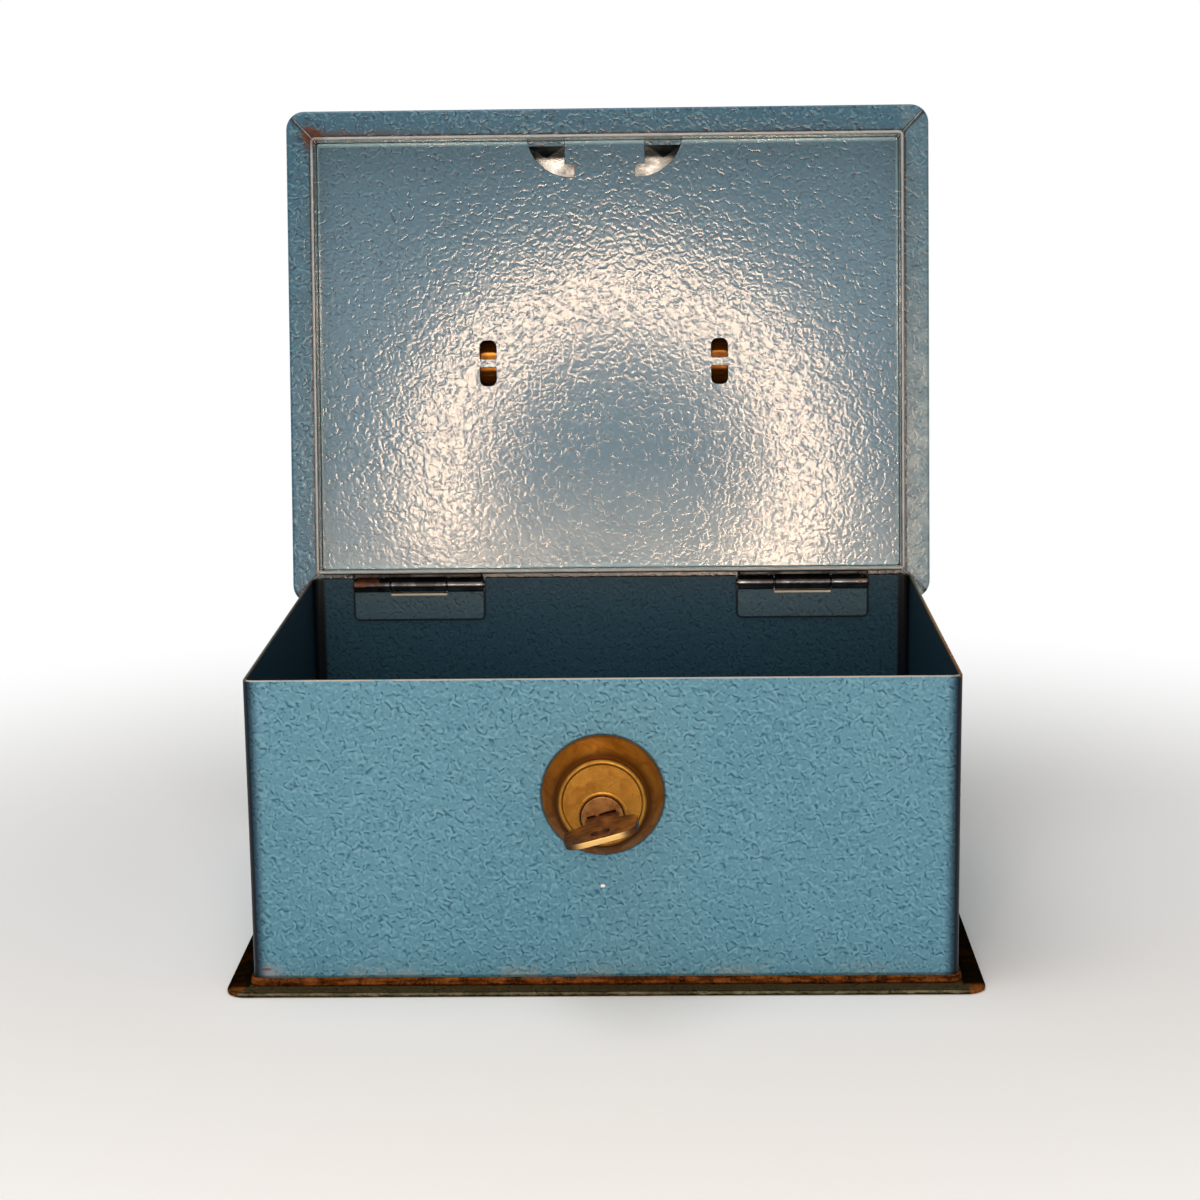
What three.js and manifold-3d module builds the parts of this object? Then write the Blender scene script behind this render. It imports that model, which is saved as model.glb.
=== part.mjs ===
import * as THREE from 'three';
import { mergeVertices } from 'three/addons/utils/BufferGeometryUtils.js';
import Module from 'manifold-3d';

// A small sheet-steel cash box with its lid open and the key in its lock.
// Millimetres, +Z up, the front wall faces -Y, and the origin is the centre of the base's underside.

const wasm = await Module();
wasm.setup();

// Box body: a folded tray of painted sheet
const boxWidth = 200;
const boxDepth = 153;
const wallHeight = 88.6;
const boxCorner = 3;
const wallThick = 0.9;

// Base plate: a flange all round, with a bead that stands round the foot of the walls
const baseThick = 1.3;
const baseOverhang = 7.1;
const baseCorner = 6;
const baseEdge = 0.4;
const beadHeight = 2.8;
const beadProud = 0.7;
const beadSlope = 0.4;
const bodySeatGap = 0.1;

// Hinges: three knuckles each, let into a notch in the back wall
const hingeFromSide = 14.7;
const hingeLength = 43;
const middleKnuckle = 18.4;
const knuckleGap = 0.3;
const knuckleRadius = 2.4;
const hingePinRadius = 1.1;
const hingePinFit = 0.12;
const hingePinProud = 0.5;
const pinBelowTop = 2.1;
const pinInset = 2;
const leafThick = 1;
const leafDrop = 13.8;
const leafCorner = 1.6;
const notchGap = 0.5;

// Lid: a crowned outer shell whose hem overhangs the box, with a lip that drops inside the walls
const openAngle = 98;
const hemAbovePin = 3.2;
const hemThick = 1.8;
const hemBorder = 9.9;
const hemCorner = 6;
const lipThick = 1.2;
const lipDrop = 8;
const lipGap = 2.6;
const lipCorner = 1.6;
const lipBeforePin = 3.9;
const crownInset = 1.5;
const crownRise = 10.2;
const crownLean = 1.2;
const crownShoulder = 3;
const crownCorner = 7;
const skinThick = 0.9;
const mitreWidth = 0.4;
const mitreDeep = 0.3;
const mitreLengthShare = 1.3;
const lidSeatGap = 0.3;

// Liner: the flat inner sheet of the lid, with two claw-shaped windows and the handle slots
const linerThick = 0.9;
const linerCorner = 1;
const clawInner = 13.3;
const clawToe = 10;
const clawToeDepth = 7.3;
const clawCentre = 11;
const clawAhead = 3.2;
const clawRadius = 14.8;
const clawsOffCentre = -0.7;
const slotPitch = 77;
const slotWidth = 5.4;
const slotLength = 15;
const slotBridge = 2.8;
const handleBehindMiddle = 2.2;
const handleOffCentre = -1.6;

// Handle: a bent rod that swings in two pressed saddles on top of the lid
const saddleWidth = 9;
const saddleThick = 0.8;
const saddleLength = 30;
const saddleCorner = 3;
const cupRadius = 8.4;
const cupAboveLiner = 1.2;
const rodRadius = 2.5;
const rodFit = 0.3;
const rodAboveSkin = 0.6;
const rodInnerEnd = 2;
const earRadius = 4.6;
const armBesideSaddle = 1.2;
const handleReach = 34;
const handleBend = 9;
const trunnionBend = 4;
const rivetRadius = 1.5;
const rivetFit = 0.15;
const rivetHead = 2.9;
const rivetHeadHigh = 1.1;
const rivetTail = 2.3;
const rivetTailHigh = 0.9;
const rivetSeatGap = 0.15;
const rivetFromEnd = 3.6;

// Lock: a short round cylinder held by a nut, with a cone-shaped rosette in front of the wall
const lockBelowTop = 33.3;
const rosetteRadius = 17.1;
const rosetteRim = 0.9;
const rosetteTop = 13;
const rosetteHigh = 7.8;
const rosetteFit = 0.2;
const headRadius = 12.3;
const headThick = 1.2;
const rimWidth = 1.1;
const rimHigh = 0.5;
const rimSlope = 0.3;
const barrelRadius = 11;
const barrelBehindWall = 6.2;
const wallHoleGap = 0.3;
const plugDrop = 4.1;
const plugRadius = 6;
const plugFit = 0.18;
const washerRadius = 15;
const washerThick = 0.8;
const nutRadius = 15.6;
const nutThick = 2.8;
const nutFit = 0.12;

// Plug, hook cam and the nut that holds the cam
const turnedBack = 75;
const plugBehindBarrel = 0.3;
const tailSquare = 5.6;
const tailFit = 0.15;
const camGap = 0.2;
const camThick = 2;
const camHub = 7;
const bladeWidth = 3.1;
const hookGap = 0.3;
const closedDrop = 0.75;
const bladeTip = 3;
const bladeTail = 64;
const armAngle = 57;
const armWidth = 9;
const studRadius = 2.3;
const studLength = 4;
const camNutRadius = 4.6;
const camNutThick = 2.6;
const camNutFit = 0.12;
const camNutGap = 0.1;

// Key: flat, with a round bow, a hanging hole and a cut blade
const keyThick = 1.7;
const keyGap = 0.2;
const bladeHigh = 7.6;
const bladeLong = 13.4;
const bladeEndSlope = 1.8;
const keywayLong = 13.9;
const wardHigh = 1.4;
const wardDeep = 0.45;
const wardBelow = 1.2;
const wardGap = 0.15;
const shoulderGap = 0.4;
const neckLong = 6;
const neckHigh = 9.4;
const neckCorner = 1.2;
const bowRadius = 10.4;
const bowStretch = 4;
const bowOverlap = 2.5;
const bowHole = 2.7;
const bowHoleFromEdge = 3.2;
const cutShares = [0.3, 0.75, 0.45, 0.6];
const cutDepth = 2.6;
const cutPitch = 2.6;
const cutFlat = 0.8;
const firstCut = 2.2;

// Smoothness of round forms, and how far a cutting tool runs past what it cuts
const cornerSteps = 2;
const roundSides = 40;
const smallSides = 20;
const rodSides = 12;
const rodSteps = 84;
const domeSteps = 3;
const overrun = 2;
const mergeGap = 1e-4;

// Places worked out from the sizes above
const quarterTurn = Math.PI / 2;
const halfTurn = Math.PI;
const boxTop = baseThick + wallHeight;
const backFace = boxDepth / 2;
const frontFace = -boxDepth / 2;
const pinY = backFace - pinInset;
const pinZ = boxTop - pinBelowTop;
const hingeOffset = boxWidth / 2 - hingeFromSide - hingeLength / 2;
const lipWidth = boxWidth - 2 * wallThick - 2 * lipGap;
const lipDepth = pinY - lipBeforePin - (frontFace + wallThick + lipGap);
const lockZ = boxTop - lockBelowTop;
const plugZ = lockZ - plugDrop;
const seatY = frontFace - rosetteHigh;
const faceY = seatY - headThick;
const barrelEndY = frontFace + wallThick + barrelBehindWall;
const plugEndY = barrelEndY + plugBehindBarrel;
const camY = plugEndY + camGap;
const lidMiddle = -(lipBeforePin + lipDepth / 2);
const hemTop = hemAbovePin + hemThick;
const crownTop = hemTop + crownRise;
const ledge = hemAbovePin + linerThick + lidSeatGap;
const handleY = lidMiddle + handleBehindMiddle;
const handleZ = crownTop + rodAboveSkin + rodRadius;

const handleX = (side) => handleOffCentre + side * slotPitch / 2;

// With the lid shut, the blade passes over the liner's bridge beside a window's straight side
const linerAbovePlug = lockBelowTop + plugDrop + hemAbovePin - pinBelowTop - closedDrop;
const bladeInner = Math.hypot(clawInner + clawsOffCentre, linerAbovePlug + linerThick + hookGap);
const bladeOuter = bladeInner + bladeWidth;

const steel = (color, roughness, metalness) => new THREE.MeshStandardMaterial({ color, roughness, metalness });
const paintedBlue = () => steel('#4d7f92', 0.42, 0.25);
const panelBlue = () => steel('#6f8b97', 0.38, 0.3);
const hingeSteel = () => steel('#3a342d', 0.4, 0.85);
const rosetteBrass = () => steel('#8a5a22', 0.45, 0.8);
const faceBrass = () => steel('#b98a35', 0.35, 0.9);
const lacquer = () => steel('#a3621f', 0.25, 0.7);
const plated = () => steel('#a7a49c', 0.35, 0.95);
const keySteel = () => steel('#9a8a63', 0.35, 0.9);

// A closed geometry becomes a solid that can be joined and cut
function solid(geometry) {
  const bare = geometry.clone();
  for (const attribute of Object.keys(bare.attributes)) {
    if (attribute !== 'position') bare.deleteAttribute(attribute);
  }
  const merged = mergeVertices(bare, mergeGap);
  const corners = merged.index.array;
  const kept = [];
  for (let i = 0; i < corners.length; i += 3) {
    const [a, b, c] = corners.slice(i, i + 3);
    if (a !== b && b !== c && c !== a) kept.push(a, b, c);
  }
  const vertProperties = new Float32Array(merged.attributes.position.array);
  const triVerts = new Uint32Array(kept);
  return new wasm.Manifold(new wasm.Mesh({ numProp: 3, vertProperties, triVerts }));
}

function shaped(body) {
  const { vertProperties, triVerts } = body.getMesh();
  const geometry = new THREE.BufferGeometry();
  geometry.setAttribute('position', new THREE.BufferAttribute(new Float32Array(vertProperties), 3));
  geometry.setIndex(new THREE.BufferAttribute(new Uint32Array(triVerts), 1));
  const flat = geometry.toNonIndexed();
  flat.computeVertexNormals();
  return flat;
}

function joined(first, ...others) {
  let body = solid(first);
  for (const other of others) body = body.add(solid(other));
  return shaped(body);
}

function cut(base, ...tools) {
  let body = solid(base);
  for (const tool of tools) body = body.subtract(solid(tool));
  return shaped(body);
}

function piece(name, geometry, material) {
  const mesh = new THREE.Mesh(geometry, material);
  mesh.name = name;
  return mesh;
}

// A rounded rectangle about the origin
function rectangle(width, depth, corner) {
  const x = width / 2 - corner;
  const y = depth / 2 - corner;
  const shape = new THREE.Shape();
  shape.absarc(x, y, corner, 0, quarterTurn);
  shape.absarc(-x, y, corner, quarterTurn, halfTurn);
  shape.absarc(-x, -y, corner, halfTurn, halfTurn + quarterTurn);
  shape.absarc(x, -y, corner, halfTurn + quarterTurn, halfTurn * 2);
  return shape;
}

// A solid that stands on one outline, from one height to another
function slab(shape, fromZ, toZ) {
  const depth = toZ - fromZ;
  const geometry = new THREE.ExtrudeGeometry(shape, { depth, bevelEnabled: false, curveSegments: cornerSteps });
  return geometry.translate(0, 0, fromZ);
}

// A pressed form: the rounded rectangle is drawn in by each inset of the profile as it rises
function pressed(width, depth, corner, profile) {
  const positions = [];
  const faces = [];
  let count = 0;
  let outline = [];
  for (const [inset, z] of profile) {
    outline = rectangle(width - 2 * inset, depth - 2 * inset, corner - inset).getPoints(cornerSteps);
    count = outline.length;
    for (const point of outline) positions.push(point.x, point.y, z);
  }
  for (let level = 0; level < profile.length - 1; level += 1) {
    for (let i = 0; i < count; i += 1) {
      const a = level * count + i;
      const b = level * count + (i + 1) % count;
      faces.push(a, b, b + count, a, b + count, a + count);
    }
  }
  const last = (profile.length - 1) * count;
  for (const [a, b, c] of THREE.ShapeUtils.triangulateShape(outline, [])) {
    faces.push(a, c, b, last + a, last + b, last + c);
  }
  const geometry = new THREE.BufferGeometry();
  geometry.setAttribute('position', new THREE.Float32BufferAttribute(positions, 3));
  geometry.setIndex(faces);
  geometry.computeVertexNormals();
  return geometry;
}

function block(width, depth, height, x, y, z) {
  return new THREE.BoxGeometry(width, depth, height).translate(x, y, z);
}

// Round bars along Y and along X
function barY(radius, fromY, toY, sides = roundSides) {
  const geometry = new THREE.CylinderGeometry(radius, radius, toY - fromY, sides);
  return geometry.translate(0, (fromY + toY) / 2, 0);
}

function barX(radius, length, sides = smallSides) {
  return new THREE.CylinderGeometry(radius, radius, length, sides).rotateZ(quarterTurn);
}

function turned(profile, sides = roundSides) {
  const points = profile.map(([radius, along]) => new THREE.Vector2(radius, along));
  return new THREE.LatheGeometry(points, sides);
}

// Flat work: an outline drawn in Y and Z gets its thickness along X, one in X and Z along Y
const alongX = new THREE.Matrix4().makeBasis(
  new THREE.Vector3(0, 1, 0), new THREE.Vector3(0, 0, 1), new THREE.Vector3(1, 0, 0));
const alongY = new THREE.Matrix4().makeBasis(
  new THREE.Vector3(1, 0, 0), new THREE.Vector3(0, 0, 1), new THREE.Vector3(0, -1, 0));

function sheetX(shape, thick, middleX) {
  return slab(shape, -thick / 2, thick / 2).applyMatrix4(alongX).translate(middleX, 0, 0);
}

function sheetY(shape, thick, middleY) {
  return slab(shape, -thick / 2, thick / 2).applyMatrix4(alongY).translate(0, middleY, 0);
}

// A rod bent at its inner corners
function bentRod(corners, bends, radius) {
  const path = new THREE.CurvePath();
  let from = corners[0];
  for (let i = 1; i < corners.length - 1; i += 1) {
    const inward = corners[i - 1].clone().sub(corners[i]).setLength(bends[i - 1]).add(corners[i]);
    const outward = corners[i + 1].clone().sub(corners[i]).setLength(bends[i - 1]).add(corners[i]);
    path.add(new THREE.LineCurve3(from, inward));
    path.add(new THREE.QuadraticBezierCurve3(inward, corners[i], outward));
    from = outward;
  }
  path.add(new THREE.LineCurve3(from, corners[corners.length - 1]));
  const section = new THREE.Shape();
  section.absarc(0, 0, radius, 0, halfTurn * 2);
  const options = { steps: rodSteps, extrudePath: path, curveSegments: rodSides / 2 };
  return new THREE.ExtrudeGeometry(section, options);
}

function basePlate() {
  const width = boxWidth + 2 * baseOverhang;
  const depth = boxDepth + 2 * baseOverhang;
  const plate = pressed(width, depth, baseCorner, [
    [baseEdge, 0], [0, baseEdge], [0, baseThick - baseEdge], [baseEdge, baseThick]]);
  const beadWidth = boxWidth + 2 * beadProud;
  const beadDepth = boxDepth + 2 * beadProud;
  const beadTop = baseThick + beadHeight;
  const bead = pressed(beadWidth, beadDepth, boxCorner + beadProud, [
    [0, baseThick / 2], [0, beadTop - beadSlope], [beadSlope, beadTop]]);
  const pocket = rectangle(boxWidth + 2 * bodySeatGap, boxDepth + 2 * bodySeatGap, boxCorner + bodySeatGap);
  return piece('base_plate', cut(joined(plate, bead), slab(pocket, baseThick, beadTop + overrun)), paintedBlue());
}

function boxBody() {
  const outside = slab(rectangle(boxWidth, boxDepth, boxCorner), baseThick, boxTop);
  const hollow = rectangle(boxWidth - 2 * wallThick, boxDepth - 2 * wallThick, boxCorner - wallThick);
  const inside = slab(hollow, baseThick + wallThick, boxTop + overrun);
  const notchBottom = pinZ - knuckleRadius - notchGap;
  const notchHigh = boxTop + overrun - notchBottom;
  const notches = [-hingeOffset, hingeOffset].map((x) => block(
    hingeLength + 2 * knuckleGap, wallThick * 2 + overrun, notchHigh, x, backFace, notchBottom + notchHigh / 2));
  const hole = barY(barrelRadius + wallHoleGap, frontFace - overrun, frontFace + wallThick + overrun);
  hole.translate(0, 0, lockZ);
  return piece('box_body', cut(outside, inside, ...notches, hole), paintedBlue());
}

// The leaf that lies on the back wall carries the two outer knuckles
function boxLeaf(name, x) {
  const bottom = boxTop - leafDrop;
  const high = pinZ - bottom;
  const leafY = backFace - wallThick - leafThick / 2;
  const leaf = sheetY(rectangle(hingeLength, high + leafCorner, leafCorner), leafThick, leafY);
  leaf.translate(x, 0, bottom + (high + leafCorner) / 2);
  const trim = block(hingeLength + overrun, leafThick * 2 + overrun, leafCorner * 2, x, leafY, pinZ + leafCorner);
  const gap = middleKnuckle + 2 * knuckleGap;
  const gapHigh = knuckleRadius + notchGap;
  const opening = block(gap, leafThick + overrun, gapHigh * 2, x, leafY, pinZ);
  const outerLength = (hingeLength - gap) / 2;
  const barrels = [-1, 1].map((side) => barX(knuckleRadius, outerLength)
    .translate(x + side * (hingeLength - outerLength) / 2, pinY, pinZ));
  const bore = barX(hingePinRadius + hingePinFit, hingeLength + overrun).translate(x, pinY, pinZ);
  const body = joined(cut(leaf, trim, opening), ...barrels);
  return piece(name, cut(body, bore), hingeSteel());
}

function hingePin(name, x) {
  const pin = barX(hingePinRadius, hingeLength + 2 * hingePinProud);
  return piece(name, pin.translate(x, pinY, pinZ), hingeSteel());
}

// The lid's own leaf is bent: it leaves the middle knuckle and turns down the back of the lip
function lidLeaf(name, x) {
  const plateY = -(lipBeforePin - lidSeatGap / 2 - leafThick / 2);
  const plateTop = knuckleRadius;
  const plateBottom = hemAbovePin - lipDrop + lidSeatGap;
  const middle = (plateTop + plateBottom) / 2;
  const plate = block(hingeLength, leafThick, plateTop - plateBottom, x, plateY, middle);
  const web = block(middleKnuckle, -plateY, leafThick, x, plateY / 2, knuckleRadius - leafThick / 2);
  const barrel = barX(knuckleRadius, middleKnuckle).translate(x, 0, 0);
  const bore = barX(hingePinRadius + hingePinFit, middleKnuckle + overrun).translate(x, 0, 0);
  return piece(name, cut(joined(plate, web, barrel), bore), hingeSteel());
}

// The crown rises from the hem with a slight lean and a rounded shoulder
function crown(inset, bottom, top) {
  const profile = [[inset, bottom], [inset, hemTop]];
  for (let i = 0; i <= domeSteps; i += 1) {
    const turn = quarterTurn * i / domeSteps;
    const across = crownShoulder * (1 - Math.cos(turn));
    const up = crownShoulder * (1 - Math.sin(turn));
    profile.push([inset + crownLean + across, top - up]);
  }
  const width = lipWidth - 2 * crownInset;
  const depth = lipDepth - 2 * crownInset;
  return pressed(width, depth, crownCorner + crownLean + crownShoulder, profile).translate(0, lidMiddle, 0);
}

function mitreSeams() {
  const seams = [];
  const reach = hemBorder / 2;
  for (const side of [-1, 1]) {
    for (const end of [-1, 1]) {
      const seam = new THREE.BoxGeometry(hemBorder * mitreLengthShare, mitreWidth, mitreDeep * 2);
      seam.rotateZ(side * end * quarterTurn / 2);
      const y = lidMiddle + end * (lipDepth / 2 + reach);
      seams.push(seam.translate(side * (lipWidth / 2 + reach), y, hemAbovePin));
    }
  }
  return seams;
}

function lidShell() {
  const half = hemThick / 2;
  const hemProfile = [
    [half / 2, hemAbovePin], [0, hemAbovePin + half / 2], [0, hemTop - half / 2], [half / 2, hemTop]];
  const hem = pressed(lipWidth + 2 * hemBorder, lipDepth + 2 * hemBorder, hemCorner, hemProfile);
  hem.translate(0, lidMiddle, 0);
  const lip = slab(rectangle(lipWidth, lipDepth, lipCorner), hemAbovePin - lipDrop, hemAbovePin + half);
  lip.translate(0, lidMiddle, 0);
  const body = joined(hem, lip, crown(0, hemAbovePin + half, crownTop));
  const pocketShape = rectangle(lipWidth - 2 * lipThick, lipDepth - 2 * lipThick, lipCorner - lipThick / 2);
  const pocket = slab(pocketShape, hemAbovePin - lipDrop - overrun, ledge).translate(0, lidMiddle, 0);
  const hollow = crown(skinThick, ledge - overrun / 2, crownTop - skinThick);
  const openings = [-1, 1].flatMap((side) => {
    const x = handleX(side);
    const cup = block(saddleWidth + 2 * lidSeatGap, 2 * (cupRadius + lidSeatGap), overrun * 2, x, handleY, crownTop);
    const holes = rivetPlaces(side).map(([rivetX, rivetY]) => {
      const hole = new THREE.CylinderGeometry(rivetRadius + rivetFit, rivetRadius + rivetFit, overrun * 2, smallSides);
      return hole.rotateX(quarterTurn).translate(rivetX, rivetY, crownTop);
    });
    return [cup, ...holes];
  });
  return piece('lid_shell', cut(body, pocket, hollow, ...openings, ...mitreSeams()), paintedBlue());
}

// One window: straight inner side, a short toe that points to the middle, and a round outer side
function clawWindow(side) {
  const toeY = Math.sqrt(clawRadius ** 2 - (clawCentre - clawToe) ** 2) - clawAhead;
  const from = Math.atan2(toeY + clawAhead, clawToe - clawCentre);
  const to = Math.asin(clawAhead / clawRadius);
  const shape = new THREE.Shape();
  shape.moveTo(clawInner, -overrun);
  shape.lineTo(clawInner, clawToeDepth);
  shape.lineTo(clawToe, clawToeDepth);
  shape.absarc(clawCentre, -clawAhead, clawRadius, from, to, true);
  shape.lineTo(clawCentre + clawRadius * Math.cos(to), -overrun);
  const cutter = new THREE.ExtrudeGeometry(shape, {
    depth: linerThick + 2 * overrun, bevelEnabled: false, curveSegments: cornerSteps * 3 });
  cutter.translate(0, 0, hemAbovePin - overrun);
  if (side < 0) {
    cutter.applyMatrix4(new THREE.Matrix4().makeRotationY(halfTurn));
    cutter.translate(0, 0, 2 * hemAbovePin + linerThick);
  }
  return cutter.translate(clawsOffCentre, lidMiddle - lipDepth / 2 + lipThick, 0);
}

// One slot pair: a long hole with round ends, with a bridge of sheet left across its middle
function handleSlot(side) {
  const hole = slab(rectangle(slotWidth, slotLength, slotWidth / 2), hemAbovePin - overrun, ledge + overrun);
  const bridge = block(slotWidth + overrun, slotBridge, overrun * 4, 0, 0, hemAbovePin);
  return cut(hole, bridge).translate(handleX(side), handleY, 0);
}

function lidLiner() {
  const width = lipWidth - 2 * lipThick - 2 * lidSeatGap;
  const depth = lipDepth - 2 * lipThick - 2 * lidSeatGap;
  const sheet = slab(rectangle(width, depth, linerCorner), hemAbovePin, hemAbovePin + linerThick);
  sheet.translate(0, lidMiddle, 0);
  const tools = [clawWindow(-1), clawWindow(1), handleSlot(-1), handleSlot(1)];
  return piece('lid_liner', cut(sheet, ...tools), panelBlue());
}

function rivetPlaces(side) {
  const away = saddleLength / 2 - rivetFromEnd;
  return [[handleX(side), handleY - away], [handleX(side), handleY + away]];
}

// A saddle: a strap with a half-round cup drawn down into the lid and two ears that hold the rod
function saddle(name, side) {
  const strapBottom = crownTop + rivetSeatGap;
  const strapTop = strapBottom + saddleThick;
  const strap = slab(rectangle(saddleWidth, saddleLength, saddleCorner), strapBottom, strapTop);
  const cupZ = hemAbovePin + linerThick + cupAboveLiner + cupRadius;
  const sink = Math.max(strapBottom - cupZ, 0);
  const cup = barX(cupRadius, saddleWidth, roundSides).translate(0, 0, cupZ);
  const sides = block(saddleWidth, 2 * cupRadius, sink + saddleThick / 2, 0, 0, cupZ + (sink + saddleThick / 2) / 2);
  const inner = cupRadius - saddleThick;
  const innerWidth = saddleWidth - 2 * saddleThick;
  const scoop = barX(inner, innerWidth, roundSides).translate(0, 0, cupZ);
  const mouth = block(innerWidth, 2 * inner, handleZ - cupZ, 0, 0, (handleZ + cupZ) / 2);
  const top = block(saddleWidth + overrun, 2 * cupRadius + overrun, cupRadius, 0, 0, strapTop + cupRadius / 2);
  const bowl = cut(joined(cup, sides, strap), top, scoop, mouth);
  const ear = new THREE.Shape();
  ear.moveTo(earRadius, strapBottom + saddleThick / 2);
  ear.lineTo(earRadius, handleZ);
  ear.absarc(0, handleZ, earRadius, 0, halfTurn);
  ear.lineTo(-earRadius, strapBottom + saddleThick / 2);
  const ears = [-1, 1].map((end) => sheetX(ear, saddleThick, end * (saddleWidth - saddleThick) / 2));
  const bore = barX(rodRadius + rodFit, saddleWidth + overrun).translate(0, 0, handleZ);
  const holes = [-1, 1].map((end) => {
    const hole = new THREE.CylinderGeometry(rivetRadius + rivetFit, rivetRadius + rivetFit, overrun * 2, smallSides);
    return hole.rotateX(quarterTurn).translate(0, end * (saddleLength / 2 - rivetFromEnd), strapTop);
  });
  const body = cut(joined(bowl, ...ears), bore, ...holes);
  return piece(name, body.translate(handleX(side), handleY, 0), lacquer());
}

// A rivet with a domed head on the saddle and a flat tail inside the lid
function rivet(name, x, y) {
  const headBottom = crownTop + saddleThick + 2 * rivetSeatGap;
  const tailTop = crownTop - skinThick - rivetSeatGap;
  const profile = [[0, tailTop - rivetTailHigh], [rivetTail, tailTop - rivetTailHigh], [rivetTail, tailTop],
    [rivetRadius, tailTop], [rivetRadius, headBottom], [rivetHead, headBottom]];
  for (let i = 1; i < domeSteps; i += 1) {
    const turn = quarterTurn * i / domeSteps;
    profile.push([rivetHead * Math.cos(turn), headBottom + rivetHeadHigh * Math.sin(turn)]);
  }
  profile.push([0, headBottom + rivetHeadHigh]);
  const body = turned(profile, smallSides).rotateX(quarterTurn);
  return piece(name, body.translate(x, y, 0), plated());
}

// The handle hangs straight down from its pivots while the lid stands open
function handleBail() {
  const earOuter = slotPitch / 2 + saddleWidth / 2;
  const armX = earOuter + armBesideSaddle + rodRadius;
  const innerX = slotPitch / 2 - saddleWidth / 2 - rodInnerEnd;
  const corners = [[-innerX, 0], [-armX, 0], [-armX, -handleReach], [armX, -handleReach], [armX, 0], [innerX, 0]];
  const points = corners.map(([x, z]) => new THREE.Vector3(x, 0, z));
  const rod = bentRod(points, [trunnionBend, handleBend, handleBend, trunnionBend], rodRadius);
  return piece('handle_bail', shaped(solid(rod)), plated());
}

function lockRosette() {
  const bore = barrelRadius + rosetteFit;
  const ring = turned([[bore, frontFace], [bore, seatY], [rosetteTop, seatY],
    [rosetteRadius, frontFace - rosetteRim], [rosetteRadius, frontFace], [bore, frontFace]]);
  return piece('lock_rosette', ring.translate(0, 0, lockZ), rosetteBrass());
}

// The lock case: a head with a raised rim in front, and a round body that passes through the wall
function lockBarrel() {
  const rimY = faceY - rimHigh;
  const rimInner = headRadius - rimWidth;
  const body = turned([[0, faceY], [rimInner, faceY], [rimInner + rimSlope, rimY], [headRadius - rimSlope, rimY],
    [headRadius, faceY], [headRadius, seatY], [barrelRadius, seatY], [barrelRadius, barrelEndY], [0, barrelEndY]]);
  const bore = barY(plugRadius + plugFit, faceY - overrun, barrelEndY + overrun).translate(0, 0, -plugDrop);
  return piece('lock_barrel', cut(body, bore).translate(0, 0, lockZ), faceBrass());
}

function lockWasher() {
  const from = frontFace + wallThick;
  const hole = barY(barrelRadius + wallHoleGap, from - overrun, from + washerThick + overrun);
  const ring = cut(barY(washerRadius, from, from + washerThick), hole);
  return piece('lock_washer', ring.translate(0, 0, lockZ), plated());
}

function lockNut() {
  const from = frontFace + wallThick + washerThick;
  const hole = barY(barrelRadius + nutFit, from - overrun, from + nutThick + overrun);
  const ring = cut(barY(nutRadius, from, from + nutThick, 6), hole);
  return piece('lock_nut', ring.translate(0, 0, lockZ), faceBrass());
}

// The plug turns in the case: keyway in front, then a square for the cam and a stud for its nut
function lockPlug() {
  const squareEnd = camY + camThick;
  const round = barY(plugRadius, faceY, plugEndY);
  const squareLong = squareEnd - plugEndY + plugBehindBarrel;
  const square = block(tailSquare, squareLong, tailSquare, 0, squareEnd - squareLong / 2, 0);
  const stud = barY(studRadius, squareEnd - camThick, squareEnd + studLength, smallSides);
  const slotHigh = bladeHigh + 2 * keyGap;
  const slotWide = keyThick + 2 * keyGap;
  const keyway = block(slotWide, keywayLong * 2, slotHigh, 0, faceY, 0);
  const ward = block(wardDeep, keywayLong, wardHigh, -(slotWide - wardDeep) / 2, faceY + keywayLong / 2, -wardBelow);
  const body = joined(cut(joined(round, square, stud), keyway), ward);
  return piece('lock_plug', body, faceBrass());
}

// The hook cam: a curved blade about the plug's own axis, carried by one arm
function lockCam() {
  const top = THREE.MathUtils.degToRad(90 - bladeTip);
  const bottom = THREE.MathUtils.degToRad(90 - bladeTail);
  const blade = new THREE.Shape();
  blade.absarc(0, 0, bladeOuter, bottom, top);
  blade.absarc(0, 0, bladeInner, top, bottom, true);
  const bladeSteps = cornerSteps * 4;
  const curve = new THREE.ExtrudeGeometry(blade, { depth: camThick, bevelEnabled: false, curveSegments: bladeSteps });
  curve.translate(0, 0, -camThick / 2).applyMatrix4(alongY);
  const armLong = (bladeInner + bladeOuter) / 2;
  const arm = block(armWidth, camThick, armLong, 0, 0, armLong / 2);
  arm.rotateY(THREE.MathUtils.degToRad(armAngle));
  const hub = barY(camHub, -camThick / 2, camThick / 2, smallSides);
  const square = block(tailSquare + 2 * tailFit, camThick + overrun, tailSquare + 2 * tailFit, 0, 0, 0);
  const body = cut(joined(hub, arm, curve), square);
  return piece('lock_cam', body.translate(0, camY + camThick / 2, 0), plated());
}

function camNut() {
  const from = camY + camThick + camNutGap;
  const hole = barY(studRadius + camNutFit, from - overrun, from + camNutThick + overrun, smallSides);
  return piece('cam_nut', cut(barY(camNutRadius, from, from + camNutThick, 6), hole), plated());
}

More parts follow.
